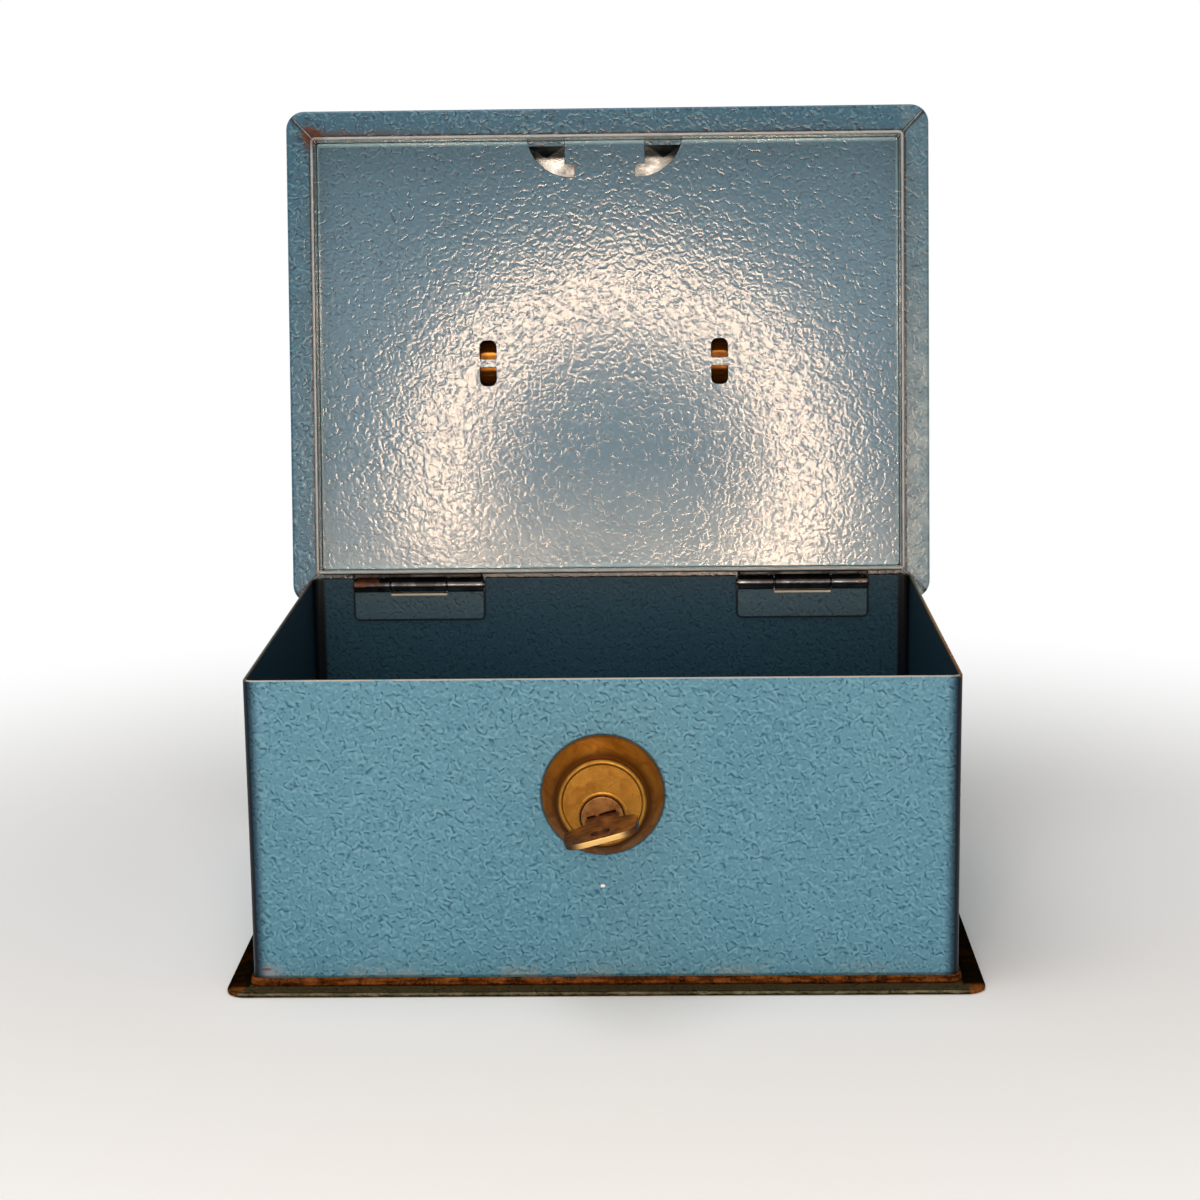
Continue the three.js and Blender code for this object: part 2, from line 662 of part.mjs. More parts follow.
// The key lies in the plane through the plug's axis; its blade is cut along the upper edge
function key() {
  const shoulder = faceY - shoulderGap;
  const tip = faceY + bladeLong;
  const top = bladeHigh / 2;
  const blade = new THREE.Shape();
  blade.moveTo(shoulder - overrun, -top);
  blade.lineTo(tip - bladeEndSlope, -top);
  blade.lineTo(tip, 0);
  blade.lineTo(tip - bladeEndSlope, top);
  for (let i = cutShares.length - 1; i >= 0; i -= 1) {
    const middle = faceY + firstCut + i * cutPitch;
    const depth = cutDepth * cutShares[i];
    const slope = Math.min(depth / 2, (cutPitch - cutFlat) / 2);
    blade.lineTo(middle + cutFlat / 2 + slope, top);
    blade.lineTo(middle + cutFlat / 2, top - depth);
    blade.lineTo(middle - cutFlat / 2, top - depth);
    blade.lineTo(middle - cutFlat / 2 - slope, top);
  }
  blade.lineTo(shoulder - overrun, top);
  const neck = rectangle(neckLong + bowOverlap, neckHigh, neckCorner);
  const bowY = shoulder - neckLong + bowStretch / 2 - bowRadius;
  const bow = rectangle(2 * bowRadius - bowStretch, 2 * bowRadius, bowRadius - bowStretch);
  const bowSheet = sheetX(bow, keyThick, 0).translate(0, bowY, 0);
  const neckSheet = sheetX(neck, keyThick, 0).translate(0, shoulder - (neckLong + bowOverlap) / 2, 0);
  const hole = barX(bowHole, keyThick + overrun);
  hole.translate(0, bowY - bowRadius + bowStretch / 2 + bowHoleFromEdge + bowHole, 0);
  const grooveHigh = wardHigh + 2 * wardGap;
  const grooveX = -(keyThick / 2);
  const grooveDeep = 2 * (wardDeep - keyGap + wardGap);
  const grooveLong = tip - shoulder + overrun;
  const groove = block(grooveDeep, grooveLong, grooveHigh, grooveX, shoulder + grooveLong / 2, -wardBelow);
  const body = cut(joined(bowSheet, neckSheet, sheetX(blade, keyThick, 0)), hole, groove);
  return piece('key', body, keySteel());
}

const lid = new THREE.Group();
lid.position.set(0, pinY, pinZ);
lid.rotation.x = THREE.MathUtils.degToRad(-openAngle);
lid.add(lidShell(), lidLiner());
for (const [word, side] of [['left', -1], ['right', 1]]) {
  lid.add(lidLeaf(`${word}_hinge_lid_leaf`, side * hingeOffset));
  lid.add(saddle(`${word}_handle_saddle`, side));
  const [front, rear] = rivetPlaces(side);
  lid.add(rivet(`${word}_saddle_front_rivet`, ...front), rivet(`${word}_saddle_rear_rivet`, ...rear));
}

const handle = new THREE.Group();
handle.position.set(handleOffCentre, handleY, handleZ);
handle.rotation.x = THREE.MathUtils.degToRad(openAngle);
handle.add(handleBail());
lid.add(handle);

const lockCore = new THREE.Group();
lockCore.position.set(0, 0, plugZ);
lockCore.rotation.y = THREE.MathUtils.degToRad(turnedBack);
lockCore.add(lockPlug(), lockCam(), camNut(), key());

const group = new THREE.Group();
group.add(basePlate(), boxBody(), lockRosette(), lockBarrel(), lockWasher(), lockNut(), lockCore, lid);
for (const [word, side] of [['left', -1], ['right', 1]]) {
  group.add(boxLeaf(`${word}_hinge_box_leaf`, side * hingeOffset));
  group.add(hingePin(`${word}_hinge_pin`, side * hingeOffset));
}

export default group;
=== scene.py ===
# %% [markdown]
# # A small steel cash box: its surfaces, finishes and light
#
# The construction model gives the sizes, the joints and the mounts. This script keeps all of
# them and adds what a person sees: rounded sheet edges, hammertone enamel, brass, bare steel
# and rust. It is a lesson in cells. Each cell of text says what the next piece is, how it
# could be made, and why one way was chosen.

# %% Load the fixed frame
import math
import bmesh
import bpy
import numpy as np
from mathutils import Matrix
from mathutils.geometry import tessellate_polygon


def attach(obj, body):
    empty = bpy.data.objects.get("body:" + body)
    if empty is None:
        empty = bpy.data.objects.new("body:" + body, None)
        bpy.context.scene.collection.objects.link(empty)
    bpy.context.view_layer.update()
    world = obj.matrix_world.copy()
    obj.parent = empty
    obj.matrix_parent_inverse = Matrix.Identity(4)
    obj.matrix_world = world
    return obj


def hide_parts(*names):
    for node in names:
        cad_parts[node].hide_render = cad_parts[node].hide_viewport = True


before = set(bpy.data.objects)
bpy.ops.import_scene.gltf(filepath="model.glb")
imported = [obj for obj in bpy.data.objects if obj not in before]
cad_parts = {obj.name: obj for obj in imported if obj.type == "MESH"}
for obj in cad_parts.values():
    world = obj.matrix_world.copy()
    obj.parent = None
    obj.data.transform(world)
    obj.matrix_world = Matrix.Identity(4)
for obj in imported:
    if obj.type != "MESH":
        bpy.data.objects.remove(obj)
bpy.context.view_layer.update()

# %% [markdown]
# ## Surfaces from arrays
#
# Sheet work could be boxes with a Bevel modifier. Here every shape is an array of points
# instead: an outline, a stack of rings, or a profile turned about an axis. All lengths are in
# millimetres until a piece is finished, as in a workshop drawing.

# %% Outlines
MM = 0.001


def tidy(points, closed=True):
    """Drops every point that lies on the one before it."""
    away = np.linalg.norm(points - np.roll(points, 1, axis=0), axis=1) > 1e-5
    if not closed:
        away[0] = True
    return points[away]


def rounded_rectangle(width, depth, corner, steps=8):
    """Anticlockwise outline: each corner's centre plus its radius times cosine and sine."""
    angles = np.linspace(0, np.pi / 2, steps + 1)
    turn = (angles[None, :] + np.arange(4)[:, None] * np.pi / 2).ravel()
    x = np.repeat([1, -1, -1, 1], steps + 1) * (width / 2 - corner)
    y = np.repeat([1, 1, -1, -1], steps + 1) * (depth / 2 - corner)
    return np.stack([x + corner * np.cos(turn), y + corner * np.sin(turn)], axis=1)


def circle(radius, sides=64, x=0.0, y=0.0, clockwise=False):
    """Centre plus radius times cosine and sine; a hole runs clockwise."""
    turn = np.arange(sides) / sides * 2 * np.pi * (-1 if clockwise else 1)
    return np.stack([x + radius * np.cos(turn), y + radius * np.sin(turn)], axis=1)


def softened(corners, radii, steps=5, closed=True):
    """Each corner becomes a quadratic curve that starts and ends one radius away from it."""
    corners = np.array(corners, float)
    radii = np.array(np.broadcast_to(radii, len(corners)), float)[:, None]
    if not closed:
        radii[[0, -1]] = 0
    back = np.roll(corners, 1, axis=0) - corners
    ahead = np.roll(corners, -1, axis=0) - corners
    start = corners + back / np.linalg.norm(back, axis=1, keepdims=True) * radii
    end = corners + ahead / np.linalg.norm(ahead, axis=1, keepdims=True) * radii
    t = np.linspace(0, 1, steps + 1)[None, :, None]
    bend = (1 - t) ** 2 * start[:, None] + 2 * t * (1 - t) * corners[:, None] + t ** 2 * end[:, None]
    return tidy(bend.reshape(-1, 2), closed)


print("outline of a softened square has", len(softened([(0, 0), (9, 0), (9, 9), (0, 9)], 2)), "points")

# %% [markdown]
# A stack of rings becomes a skin of four-sided faces, and a flat outline is filled with
# triangles. `plate` joins both: sheet metal whose cut edges are rounded over, as a tumbled or
# painted blank has them. A Bevel modifier would round the same edges, but it can fold over
# itself at a small notch, and a drawn-in outline can't.

# %% Skins, plates and turned work
def skin(rings, wrap=False):
    """Quads between neighbouring rings; wrap joins the last ring to the first."""
    count, sides = rings.shape[:2]
    rows = np.arange(count if wrap else count - 1)[:, None]
    here = np.arange(sides)[None, :]
    there = (here + 1) % sides
    above = (rows + 1) % count
    corners = [rows * sides + here, rows * sides + there, above * sides + there, above * sides + here]
    return np.stack(corners, axis=-1).reshape(-1, 4).tolist()


def filled(loops):
    """Triangles, all anticlockwise, that fill the first loop and leave the others open."""
    flat = np.concatenate(loops)
    found = tessellate_polygon([np.pad(loop, ((0, 0), (0, 1))).tolist() for loop in loops])
    corners = np.array(found)
    a, b, c = flat[corners[:, 0]], flat[corners[:, 1]], flat[corners[:, 2]]
    turn = (b - a)[:, 0] * (c - a)[:, 1] - (b - a)[:, 1] * (c - a)[:, 0]
    corners[turn < 0] = corners[turn < 0][:, ::-1]
    return corners


def inward(loop):
    """Direction into the material, which lies on the left of the outline, with mitred corners."""
    step = np.roll(loop, -1, axis=0) - loop
    step /= np.linalg.norm(step, axis=1, keepdims=True)
    left = np.stack([-step[:, 1], step[:, 0]], axis=1)
    before = np.roll(left, 1, axis=0)
    return (left + before) / (1 + (left * before).sum(axis=1, keepdims=True))


def outward(points, faces):
    """Turns all faces round if the closed shape's signed volume is negative."""
    volume = 0.0
    for size in (3, 4):
        same = np.array([f for f in faces if len(f) == size])
        for k in range(1, size - 1):
            if len(same):
                a, b, c = points[same[:, 0]], points[same[:, k]], points[same[:, k + 1]]
                volume += (a * np.cross(b, c)).sum()
    return points, ([f[::-1] for f in faces] if volume < 0 else faces)


def plate(loops, thick, edge=0.2, steps=3):
    """Flat work: each outline is drawn in by edge*(1 - sin t) while it rises edge*(1 - cos t)."""
    turn = np.linspace(0, np.pi / 2, steps + 1)
    inset = edge * (1 - np.sin(turn))
    rise = edge * (1 - np.cos(turn))
    inset = np.concatenate([inset, inset[::-1]])
    rise = np.concatenate([rise, thick - rise[::-1]])
    points, faces, start, lower, upper, marks = [], [], 0, [], [], []
    for loop in loops:
        rings = np.empty((len(inset), len(loop), 3))
        rings[:, :, :2] = loop[None] + inset[:, None, None] * inward(loop)[None]
        rings[:, :, 2] = rise[:, None]
        points.append(rings.reshape(-1, 3))
        faces += (np.array(skin(rings)) + start).tolist()
        lower.append(start + np.arange(len(loop)))
        upper.append(start + (len(inset) - 1) * len(loop) + np.arange(len(loop)))
        marks.append(rings[0, :, :2])
        start += rings.shape[0] * rings.shape[1]
    cover = filled(marks)
    faces += np.concatenate(upper)[cover].tolist() + np.concatenate(lower)[cover][:, ::-1].tolist()
    return np.concatenate(points), faces


def turned(profile, sides=72, wrap=False):
    """Lathe work about the Y axis: a point (radius, y) goes to (radius cos t, y, radius sin t)."""
    profile = np.array(profile, float)
    turn = np.arange(sides) / sides * 2 * np.pi
    rings = np.empty((len(profile), sides, 3))
    rings[:, :, 0] = profile[:, :1] * np.cos(turn)[None]
    rings[:, :, 1] = profile[:, 1:]
    rings[:, :, 2] = profile[:, :1] * np.sin(turn)[None]
    return rings.reshape(-1, 3), skin(rings, wrap)


def stacked(rings, wrap=True):
    """A stack of rings that closes on itself, or whose first and last rings are filled flat."""
    points, faces = rings.reshape(-1, 3), skin(rings, wrap)
    if not wrap:
        sides = rings.shape[1]
        last = (len(rings) - 1) * sides
        faces += filled([rings[-1, :, :2]]).__add__(last).tolist()
        faces += filled([rings[0, :, :2]])[:, ::-1].tolist()
    return points, faces


def moved(part, x=0.0, y=0.0, z=0.0):
    return part[0] + np.array([x, y, z]), part[1]


def swapped(part, order, signs=(1, 1, 1)):
    """Points with their axes in another order, such as flat work stood on edge."""
    return part[0][:, list(order)] * np.array(signs, float), part[1]


def along_x(part, middle, thick):
    """Flat work drawn in Y and Z, with its thickness centred on x = middle."""
    return moved(swapped(part, (2, 0, 1)), x=middle - thick / 2)


def along_y(part, front):
    """Flat work drawn in X and Z, with its thickness running back from y = front."""
    return moved(swapped(part, (0, 2, 1)), y=front)


# %% [markdown]
# `piece` turns arrays into a finished object. Its points stay where they are in the shared
# frame, so the object itself sits at the origin, unturned, as the construction nodes do.
# Smooth shading with sharp edges above an angle, and normals weighted by face area, keep the
# flats flat while the rounded edges catch the light.

# %% Finished pieces
made = {}


def piece(name, parts, body, finish, stands_for=(), sharp=38):
    """Joins closed parts into one mesh, merges poles and seams, and hangs it on its body."""
    points, faces, start = [], [], 0
    for part in parts:
        part_points, part_faces = outward(*part)
        points.append(part_points)
        faces += [[corner + start for corner in face] for face in part_faces]
        start += len(part_points)
    mesh = bpy.data.meshes.new(name)
    mesh.from_pydata((np.concatenate(points) * MM).tolist(), [], faces)
    work = bmesh.new()
    work.from_mesh(mesh)
    bmesh.ops.remove_doubles(work, verts=work.verts, dist=1e-7)
    bmesh.ops.dissolve_degenerate(work, edges=work.edges, dist=1e-8)
    work.to_mesh(mesh)
    work.free()
    mesh.polygons.foreach_set("use_smooth", np.ones(len(mesh.polygons), bool))
    mesh.set_sharp_from_angle(angle=math.radians(sharp))
    mesh.materials.append(finish)
    made[name] = bpy.data.objects.new(name, mesh)
    bpy.context.scene.collection.objects.link(made[name])
    flats = made[name].modifiers.new("flat faces stay flat", "WEIGHTED_NORMAL")
    flats.keep_sharp = True
    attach(made[name], body)
    if stands_for:
        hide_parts(*([stands_for] if isinstance(stands_for, str) else stands_for))
    size = np.ptp(np.concatenate(points), axis=0)
    print(f"{name}: {len(mesh.polygons)} faces, {size[0]:.1f} x {size[1]:.1f} x {size[2]:.1f} mm")
    return made[name]


# %% [markdown]
# ## Shader helpers
#
# A material is a chain of nodes. `add` places one node and wires its sockets, so a finish
# reads like a recipe, and the small helpers find the tree from the sockets they are given.
# Patterns read Object coordinates: metres in the shared frame, which move with a piece when
# its body turns.

# %% Nodes in one line each
def add(tree, kind, wires=None, **settings):
    """One node: settings are its own options, wires maps a socket to a value or an output."""
    made_node = tree.nodes.new(kind)
    for key, value in settings.items():
        setattr(made_node, key, value)
    for key, value in (wires or {}).items():
        socket = made_node.inputs[key]
        if isinstance(value, bpy.types.NodeSocket):
            tree.links.new(value, socket)
        else:
            socket.default_value = value
    return made_node


def tree_of(*values):
    """The node tree of the first socket among some values."""
    return next(value.id_data for value in values if isinstance(value, bpy.types.NodeSocket))


def ramp(value, low, high, to_low=0.0, to_high=1.0, smooth=True):
    """Values from low to high become to_low to to_high, held beyond both ends."""
    kind = "SMOOTHSTEP" if smooth else "LINEAR"
    wires = {"Value": value, "From Min": low, "From Max": high, "To Min": to_low, "To Max": to_high}
    node = add(tree_of(value), "ShaderNodeMapRange", wires, interpolation_type=kind, clamp=True)
    return node.outputs["Result"]


def fall(value, low, high, share=1.0):
    """A share up to low, which falls to nothing at high."""
    return ramp(value, low, high, share, 0.0)


def maths(operation, a, b=0.0):
    return add(tree_of(a, b), "ShaderNodeMath", {0: a, 1: b}, operation=operation).outputs[0]


def vectors(operation, a, b=(0.0, 0.0, 0.0)):
    return add(tree_of(a), "ShaderNodeVectorMath", {0: a, 1: b}, operation=operation).outputs


def times(first, *others):
    for other in others:
        first = maths("MULTIPLY", first, other)
    return first


def plus(first, *others):
    for other in others:
        first = maths("ADD", first, other)
    return first


def minus(a, b):
    return maths("SUBTRACT", a, b)


def larger(a, b):
    return maths("MAXIMUM", a, b)


def positive(a):
    return maths("ABSOLUTE", a)


def distance(a, b):
    """The square root of a squared plus b squared."""
    return maths("SQRT", plus(times(a, a), times(b, b)))


def blend(share, a, b, how="MIX"):
    """Colour a where share is 0 and colour b where it is 1."""
    wires = {0: share, 6: a, 7: b}
    mixer = add(tree_of(share), "ShaderNodeMix", wires, data_type="RGBA", blend_type=how, clamp_factor=True)
    return mixer.outputs[2]


def noise(where, scale, detail=2.0, rough=0.5, distortion=0.0):
    wires = {"Vector": where, "Scale": scale, "Detail": detail, "Roughness": rough, "Distortion": distortion}
    return add(tree_of(where), "ShaderNodeTexNoise", wires).outputs["Fac"]


def rgb(red, green, blue):
    """A colour as read off a screen, 0 to 255, as the linear colour that a shader takes."""
    shares = np.array([red, green, blue]) / 255
    linear = np.where(shares <= 0.04045, shares / 12.92, ((shares + 0.055) / 1.055) ** 2.4)
    return (*linear.tolist(), 1.0)


FLOAT, VECTOR, COLOUR = "NodeSocketFloat", "NodeSocketVector", "NodeSocketColor"


def group(name, inputs, outputs):
    """An empty shader group with named sockets: (name, kind, default) for each input."""
    tree = bpy.data.node_groups.new(name, "ShaderNodeTree")
    for label, kind, default in inputs:
        socket = tree.interface.new_socket(label, in_out="INPUT", socket_type=kind)
        if default is not None:
            socket.default_value = default
    for label, kind in outputs:
        tree.interface.new_socket(label, in_out="OUTPUT", socket_type=kind)
    return tree, tree.nodes.new("NodeGroupInput").outputs, tree.nodes.new("NodeGroupOutput").inputs


# %% [markdown]
# ## Hammertone
#
# Hammertone enamel holds fine metal flakes and a little silicone. It pulls itself together as
# it dries, and leaves short worm-like hollows about two millimetres long. Voronoi cells would
# look too regular, and thin lines of a noise too sharp. Here a noise stands for the thickness
# of the film, and a place is a hollow where the noise is higher all round it than on it. Four
# neighbours at the corners of a tetrahedron find that on faces of every direction. A share of
# the slope is added, because flakes on the upper side of a hollow look darker.

# %% Hammertone group
tree, given, result = group(
    "hammertone",
    [("Vector", VECTOR, None), ("Scale", FLOAT, 500.0), ("Swell", FLOAT, 1.0), ("Dents", FLOAT, 1.0)],
    [("Hollow", FLOAT), ("Lip", FLOAT), ("Height", FLOAT), ("Cloud", FLOAT)])
neighbour_reach = 0.5 * MM
lean_share, slope_share = 0.3, 0.3
lip_height, hollow_depth = 0.15, 0.6


def film(x=0.0, y=0.0, z=0.0):
    """The film's thickness at a place some metres away."""
    return noise(vectors("ADD", given["Vector"], (x, y, z))[0], given["Scale"], detail=0.0, distortion=1.0)


here, corner = film(), neighbour_reach / math.sqrt(3)
neighbours = [film(x * corner, y * corner, x * y * corner) for x in (1, -1) for y in (1, -1)]
valley = minus(times(plus(*neighbours), 1 / len(neighbours)), here)
above = film(lean_share * neighbour_reach, 0.0, neighbour_reach)
deep = plus(valley, times(minus(above, here), slope_share))
hollow, lip = ramp(deep, 0.03, 0.23), ramp(deep, -0.01, -0.18)
dents = times(minus(times(lip, lip_height), times(hollow, hollow_depth)), given["Dents"])
tree.links.new(hollow, result["Hollow"])
tree.links.new(lip, result["Lip"])
tree.links.new(plus(times(here, given["Swell"]), dents), result["Height"])
tree.links.new(noise(given["Vector"], 22.0, detail=3.0), result["Cloud"])
hammertone = tree
print("hammertone group:", len(hammertone.nodes), "nodes")

# %% [markdown]
# ## Rust
#
# Rust starts where paint is thin, on edges and in the crevice at the foot of a wall, and it
# spreads in uneven patches from dark brown to orange. The group takes an Amount that says
# where rust may be, from 0 to 1, and breaks its border up with noise.

# %% Rust group
tree, given, result = group("rust", [("Vector", VECTOR, None), ("Amount", FLOAT, 0.0)],
                            [("Mask", FLOAT), ("Color", COLOUR)])
patches = noise(given["Vector"], 260.0, detail=5.0, rough=0.62)
grains = noise(given["Vector"], 1500.0, detail=3.0, rough=0.6)
reach = plus(times(given["Amount"], 0.75), patches)
tree.links.new(ramp(reach, 0.82, 1.0), result["Mask"])
mottle = plus(times(patches, 0.6), times(grains, 0.4))
dark_to_orange = blend(ramp(mottle, 0.36, 0.62), rgb(42, 24, 12), rgb(126, 74, 34))
tree.links.new(dark_to_orange, result["Color"])
rust = tree
print("rust group:", len(rust.nodes), "nodes")


# %% [markdown]
# ## The blue enamel
#
# One recipe serves the walls, the base, the lid and its liner, each with its own blues, gloss
# and rust. The flakes make it part metallic. `where_rusty` is given the coordinates, and
# returns how much rust each place may have. A layer is given them too, and returns its share,
# its tint and how the tint is blended in.

# %% Painted sheet
def start_material(name, metallic=0.0, rough=0.4):
    """A material with a Principled BSDF whose plain numbers sit on the shader's own sockets."""
    material = bpy.data.materials.new(name)
    material.use_nodes = True
    material.node_tree.nodes.clear()
    nodes = material.node_tree
    shader = add(nodes, "ShaderNodeBsdfPrincipled", {"Metallic": metallic, "Roughness": rough})
    end = add(nodes, "ShaderNodeOutputMaterial")
    nodes.links.new(shader.outputs[0], end.inputs[0])
    where = add(nodes, "ShaderNodeTexCoord").outputs["Object"]
    return material, nodes, shader, where


def layered(colour, where, layers):
    """A colour with each layer laid over it in turn."""
    for layer in layers:
        share, tint, how = layer(where)
        colour = blend(share, colour, tint, how)
    return colour


def rusted(colour, where, amount):
    """The rust's mask, and the colour with the rust on it."""
    patch = add(tree_of(where), "ShaderNodeGroup", {"Vector": where, "Amount": amount}, node_tree=rust)
    mask = patch.outputs["Mask"]
    return mask, blend(mask, colour, patch.outputs["Color"])


def finished(shader, colour, height, depth):
    """Wires a colour, and a relief of some metres' depth, to the shader."""
    nodes = tree_of(height)
    bump = add(nodes, "ShaderNodeBump", {"Strength": 1.0, "Distance": depth, "Height": height})
    nodes.links.new(colour, shader.inputs["Base Color"])
    nodes.links.new(bump.outputs[0], shader.inputs["Normal"])


def painted(name, blue, dark, pale, where_rusty=None, layers=(), gloss=0.42, flake=0.2, depth=0.00005,
            lines=0.85, lips=0.5, scale=500.0, swell=0.4, dents=1.0, shine=0.35, calm=None, grime_and_shade=()):
    """Hammertone enamel with its layers, then rust, then dirt and painted shade over both."""
    material, nodes, shader, where = start_material(name, flake, gloss)
    shader.inputs["Specular IOR Level"].default_value = shine
    wires = {"Vector": where, "Scale": scale, "Swell": swell, "Dents": dents}
    cells = add(nodes, "ShaderNodeGroup", wires, node_tree=hammertone).outputs
    clouded = tuple(np.array(blue) * 0.88 + np.array(pale) * 0.12)
    colour = blend(ramp(cells["Cloud"], 0.32, 0.68), blue, clouded)
    colour = blend(times(cells["Lip"], lips), colour, pale)
    colour = blend(times(cells["Hollow"], lines), colour, dark)
    colour = layered(colour, where, layers)
    if where_rusty:
        mask, colour = rusted(colour, where, where_rusty(where))
        nodes.links.new(ramp(mask, 0.0, 1.0, gloss, 0.75), shader.inputs["Roughness"])
        nodes.links.new(ramp(mask, 0.0, 1.0, flake, 0.0), shader.inputs["Metallic"])
    height = times(cells["Height"], calm(where)) if calm else cells["Height"]
    finished(shader, layered(colour, where, grime_and_shade), height, depth)
    return material


# %% [markdown]
# The walls need more than one blue. The inside is a darker navy, the back corners are almost
# black, and a dark line runs round each hinge leaf and round the lock: all of it painted shade.
# All of these follow position, so they are masks made of distances rather than painted pictures.
# They are worked out from the same sizes as the shapes, in millimetres.

# %% Sizes that masks and shapes share
box_width, box_depth, box_corner = 200.0, 153.0, 3.0
side_x, wall_y = box_width / 2, box_depth / 2
wall_foot, wall_top, wall_thick = 1.3, 89.9, 0.9
pin_y, pin_z, knuckle_radius = 74.5, 87.8, 2.4
hinge_offset, hinge_length, middle_knuckle, knuckle_gap = 63.8, 43.0, 18.4, 0.3
leaf_z, leaf_rise, leaf_corner = 82.8, 6.7, 1.6
lock_z, cone_radius, plug_drop, plug_turn = 56.6, 17.1, 4.1, math.radians(75)
plug_z = lock_z - plug_drop
paint_foot = 3.8
print("box", box_width, "x", box_depth, "mm, walls up to", wall_top, "mm")


# %% Masks on the walls
def axes(where):
    """Across, back and up in the shared frame, in millimetres."""
    scaled = vectors("MULTIPLY", where, (1 / MM, 1 / MM, 1 / MM))[0]
    parts = add(tree_of(where), "ShaderNodeSeparateXYZ", {0: scaled})
    return parts.outputs[0], parts.outputs[1], parts.outputs[2]


def darker(share, red, green, blue):
    """A layer that multiplies the colour under it."""
    return share, (red, green, blue, 1.0), "MULTIPLY"


def covered(share, tint):
    """A layer that hides the colour under it."""
    return share, tint, "MIX"


def inside_box(where):
    x, y, z = axes(where)
    across = fall(positive(x), side_x - 0.6, side_x - 0.3)
    return times(across, fall(positive(y), wall_y - 0.6, wall_y - 0.3))


def inside_shade(where):
    """Painted shade: a darker navy all over the inside."""
    return darker(inside_box(where), 0.20, 0.27, 0.31)


def inner_side_shade(where):
    """Painted shade: the two side walls are darker still inside."""
    x, y, z = axes(where)
    side = ramp(positive(x), side_x - 2 * wall_thick, side_x - 1.2)
    return darker(times(side, inside_box(where)), 0.26, 0.30, 0.31)


def calm_inside(where):
    """The relief inside is much weaker."""
    return ramp(inside_box(where), 0.0, 1.0, 1.0, 0.3)


def corner_shade(where):
    """Painted shade in the inner back corners, a few millimetres wide."""
    x, y, z = axes(where)
    side = ramp(positive(x), side_x - 5.0, side_x - 3.8)
    back = ramp(y, wall_y - 4.0, wall_y - 2.5)
    return darker(times(side, back, inside_box(where)), 0.05, 0.06, 0.08)


def edge_shade(where):
    """Painted shade: the upright edges are a little darker, most of all in front."""
    x, y, z = axes(where)
    side = ramp(positive(x), side_x - 5.0, side_x - 1.3)
    end = ramp(positive(y), wall_y - 7.5, wall_y - 3.5)
    front_weight = ramp(y, -20.0, 20.0, 1.0, 0.55)
    return darker(times(side, end, front_weight), 0.06, 0.11, 0.16)


# Painted shade: a dark line round each hinge leaf, where it stands proud of the wall.
def leaf_shade_line(where):
    """Distance to a rounded rectangle: the length of what lies beyond its shrunken sides."""
    x, y, z = axes(where)
    over_x = minus(positive(minus(positive(x), hinge_offset)), hinge_length / 2 - leaf_corner)
    over_z = minus(positive(minus(z, leaf_z)), leaf_rise - leaf_corner)
    away = distance(larger(over_x, 0.0), larger(over_z, 0.0))
    near = fall(away, leaf_corner + 0.4, leaf_corner + 0.9)
    back = ramp(y, wall_y - 2.5, wall_y - 1.5)
    return darker(times(near, back, inside_box(where)), 0.10, 0.12, 0.15)


def lock_shade_ring(where):
    """Painted shade: a dark ring on the front wall, just outside the cone."""
    x, y, z = axes(where)
    near = fall(distance(x, minus(z, lock_z)), cone_radius + 0.2, cone_radius + 0.8)
    return darker(times(near, fall(y, 0.5 - wall_y, 1.5 - wall_y)), 0.22, 0.20, 0.20)


# %% [markdown]
# A mark has no edge of its own to follow. It is a soft ellipsoid instead: the distance from its
# middle, counted in half sizes, with noise added so that its border looks torn.

# %% Marks on the front wall
def spot(where, middle, half, ragged=0.0):
    """Distance from a middle, counted in half sizes, with a ragged border made by a noise."""
    off = vectors("SUBTRACT", where, [length * MM for length in middle])[0]
    share = vectors("DIVIDE", off, [length * MM for length in half])[0]
    border = times(minus(noise(where, 700.0), 0.5), ragged)
    return plus(vectors("LENGTH", share)["Value"], border)


def chip(where):
    """One pale chip under the lock."""
    far = spot(where, (-0.3, -wall_y, 30.0), (0.7, 2.0, 0.5), 0.8)
    return covered(fall(far, 0.7, 1.1), rgb(226, 224, 214))


def rubbed_patch(where):
    """A mauve-grey rubbed patch at the front wall's lower left corner."""
    far = spot(where, (-95.2, -wall_y, 5.0), (4.6, 2.0, 3.0), 1.6)
    return covered(fall(far, 0.1, 1.2, 0.75), rgb(132, 138, 148))


def scratch_mark(where):
    """A short rust-red scratch inside that patch."""
    far = spot(where, (-95.8, -wall_y, 6.0), (1.9, 2.0, 0.45), 1.8)
    return covered(fall(far, 0.5, 1.2, 0.85), rgb(112, 68, 62))


# %% Edges and foot of the walls
def foot_smears(where):
    """Faint beige stains creep up from the rusty bead."""
    x, y, z = axes(where)
    patch = ramp(noise(where, 85.0, detail=3.0), 0.48, 0.62)
    return covered(times(patch, fall(z, paint_foot, paint_foot + 4.7, 0.3)), rgb(146, 146, 132))


def foot_line(where):
    """A thin grey line where the walls meet the bead."""
    x, y, z = axes(where)
    return darker(fall(z, paint_foot, paint_foot + 0.6, 0.85), 0.30, 0.32, 0.30)


def rubbed_edge(where):
    """Paint rubbed to a pale line along the front wall's top edge, and to a brown one at the back."""
    x, y, z = axes(where)
    rubbed = ramp(noise(where, 90.0, detail=4.0), 0.3, 0.5, 0.35, 0.95)
    tint = blend(ramp(y, -50.0, 50.0), rgb(168, 160, 148), rgb(52, 44, 38))
    return covered(times(ramp(z, wall_top - 0.45, wall_top - 0.2), rubbed), tint)


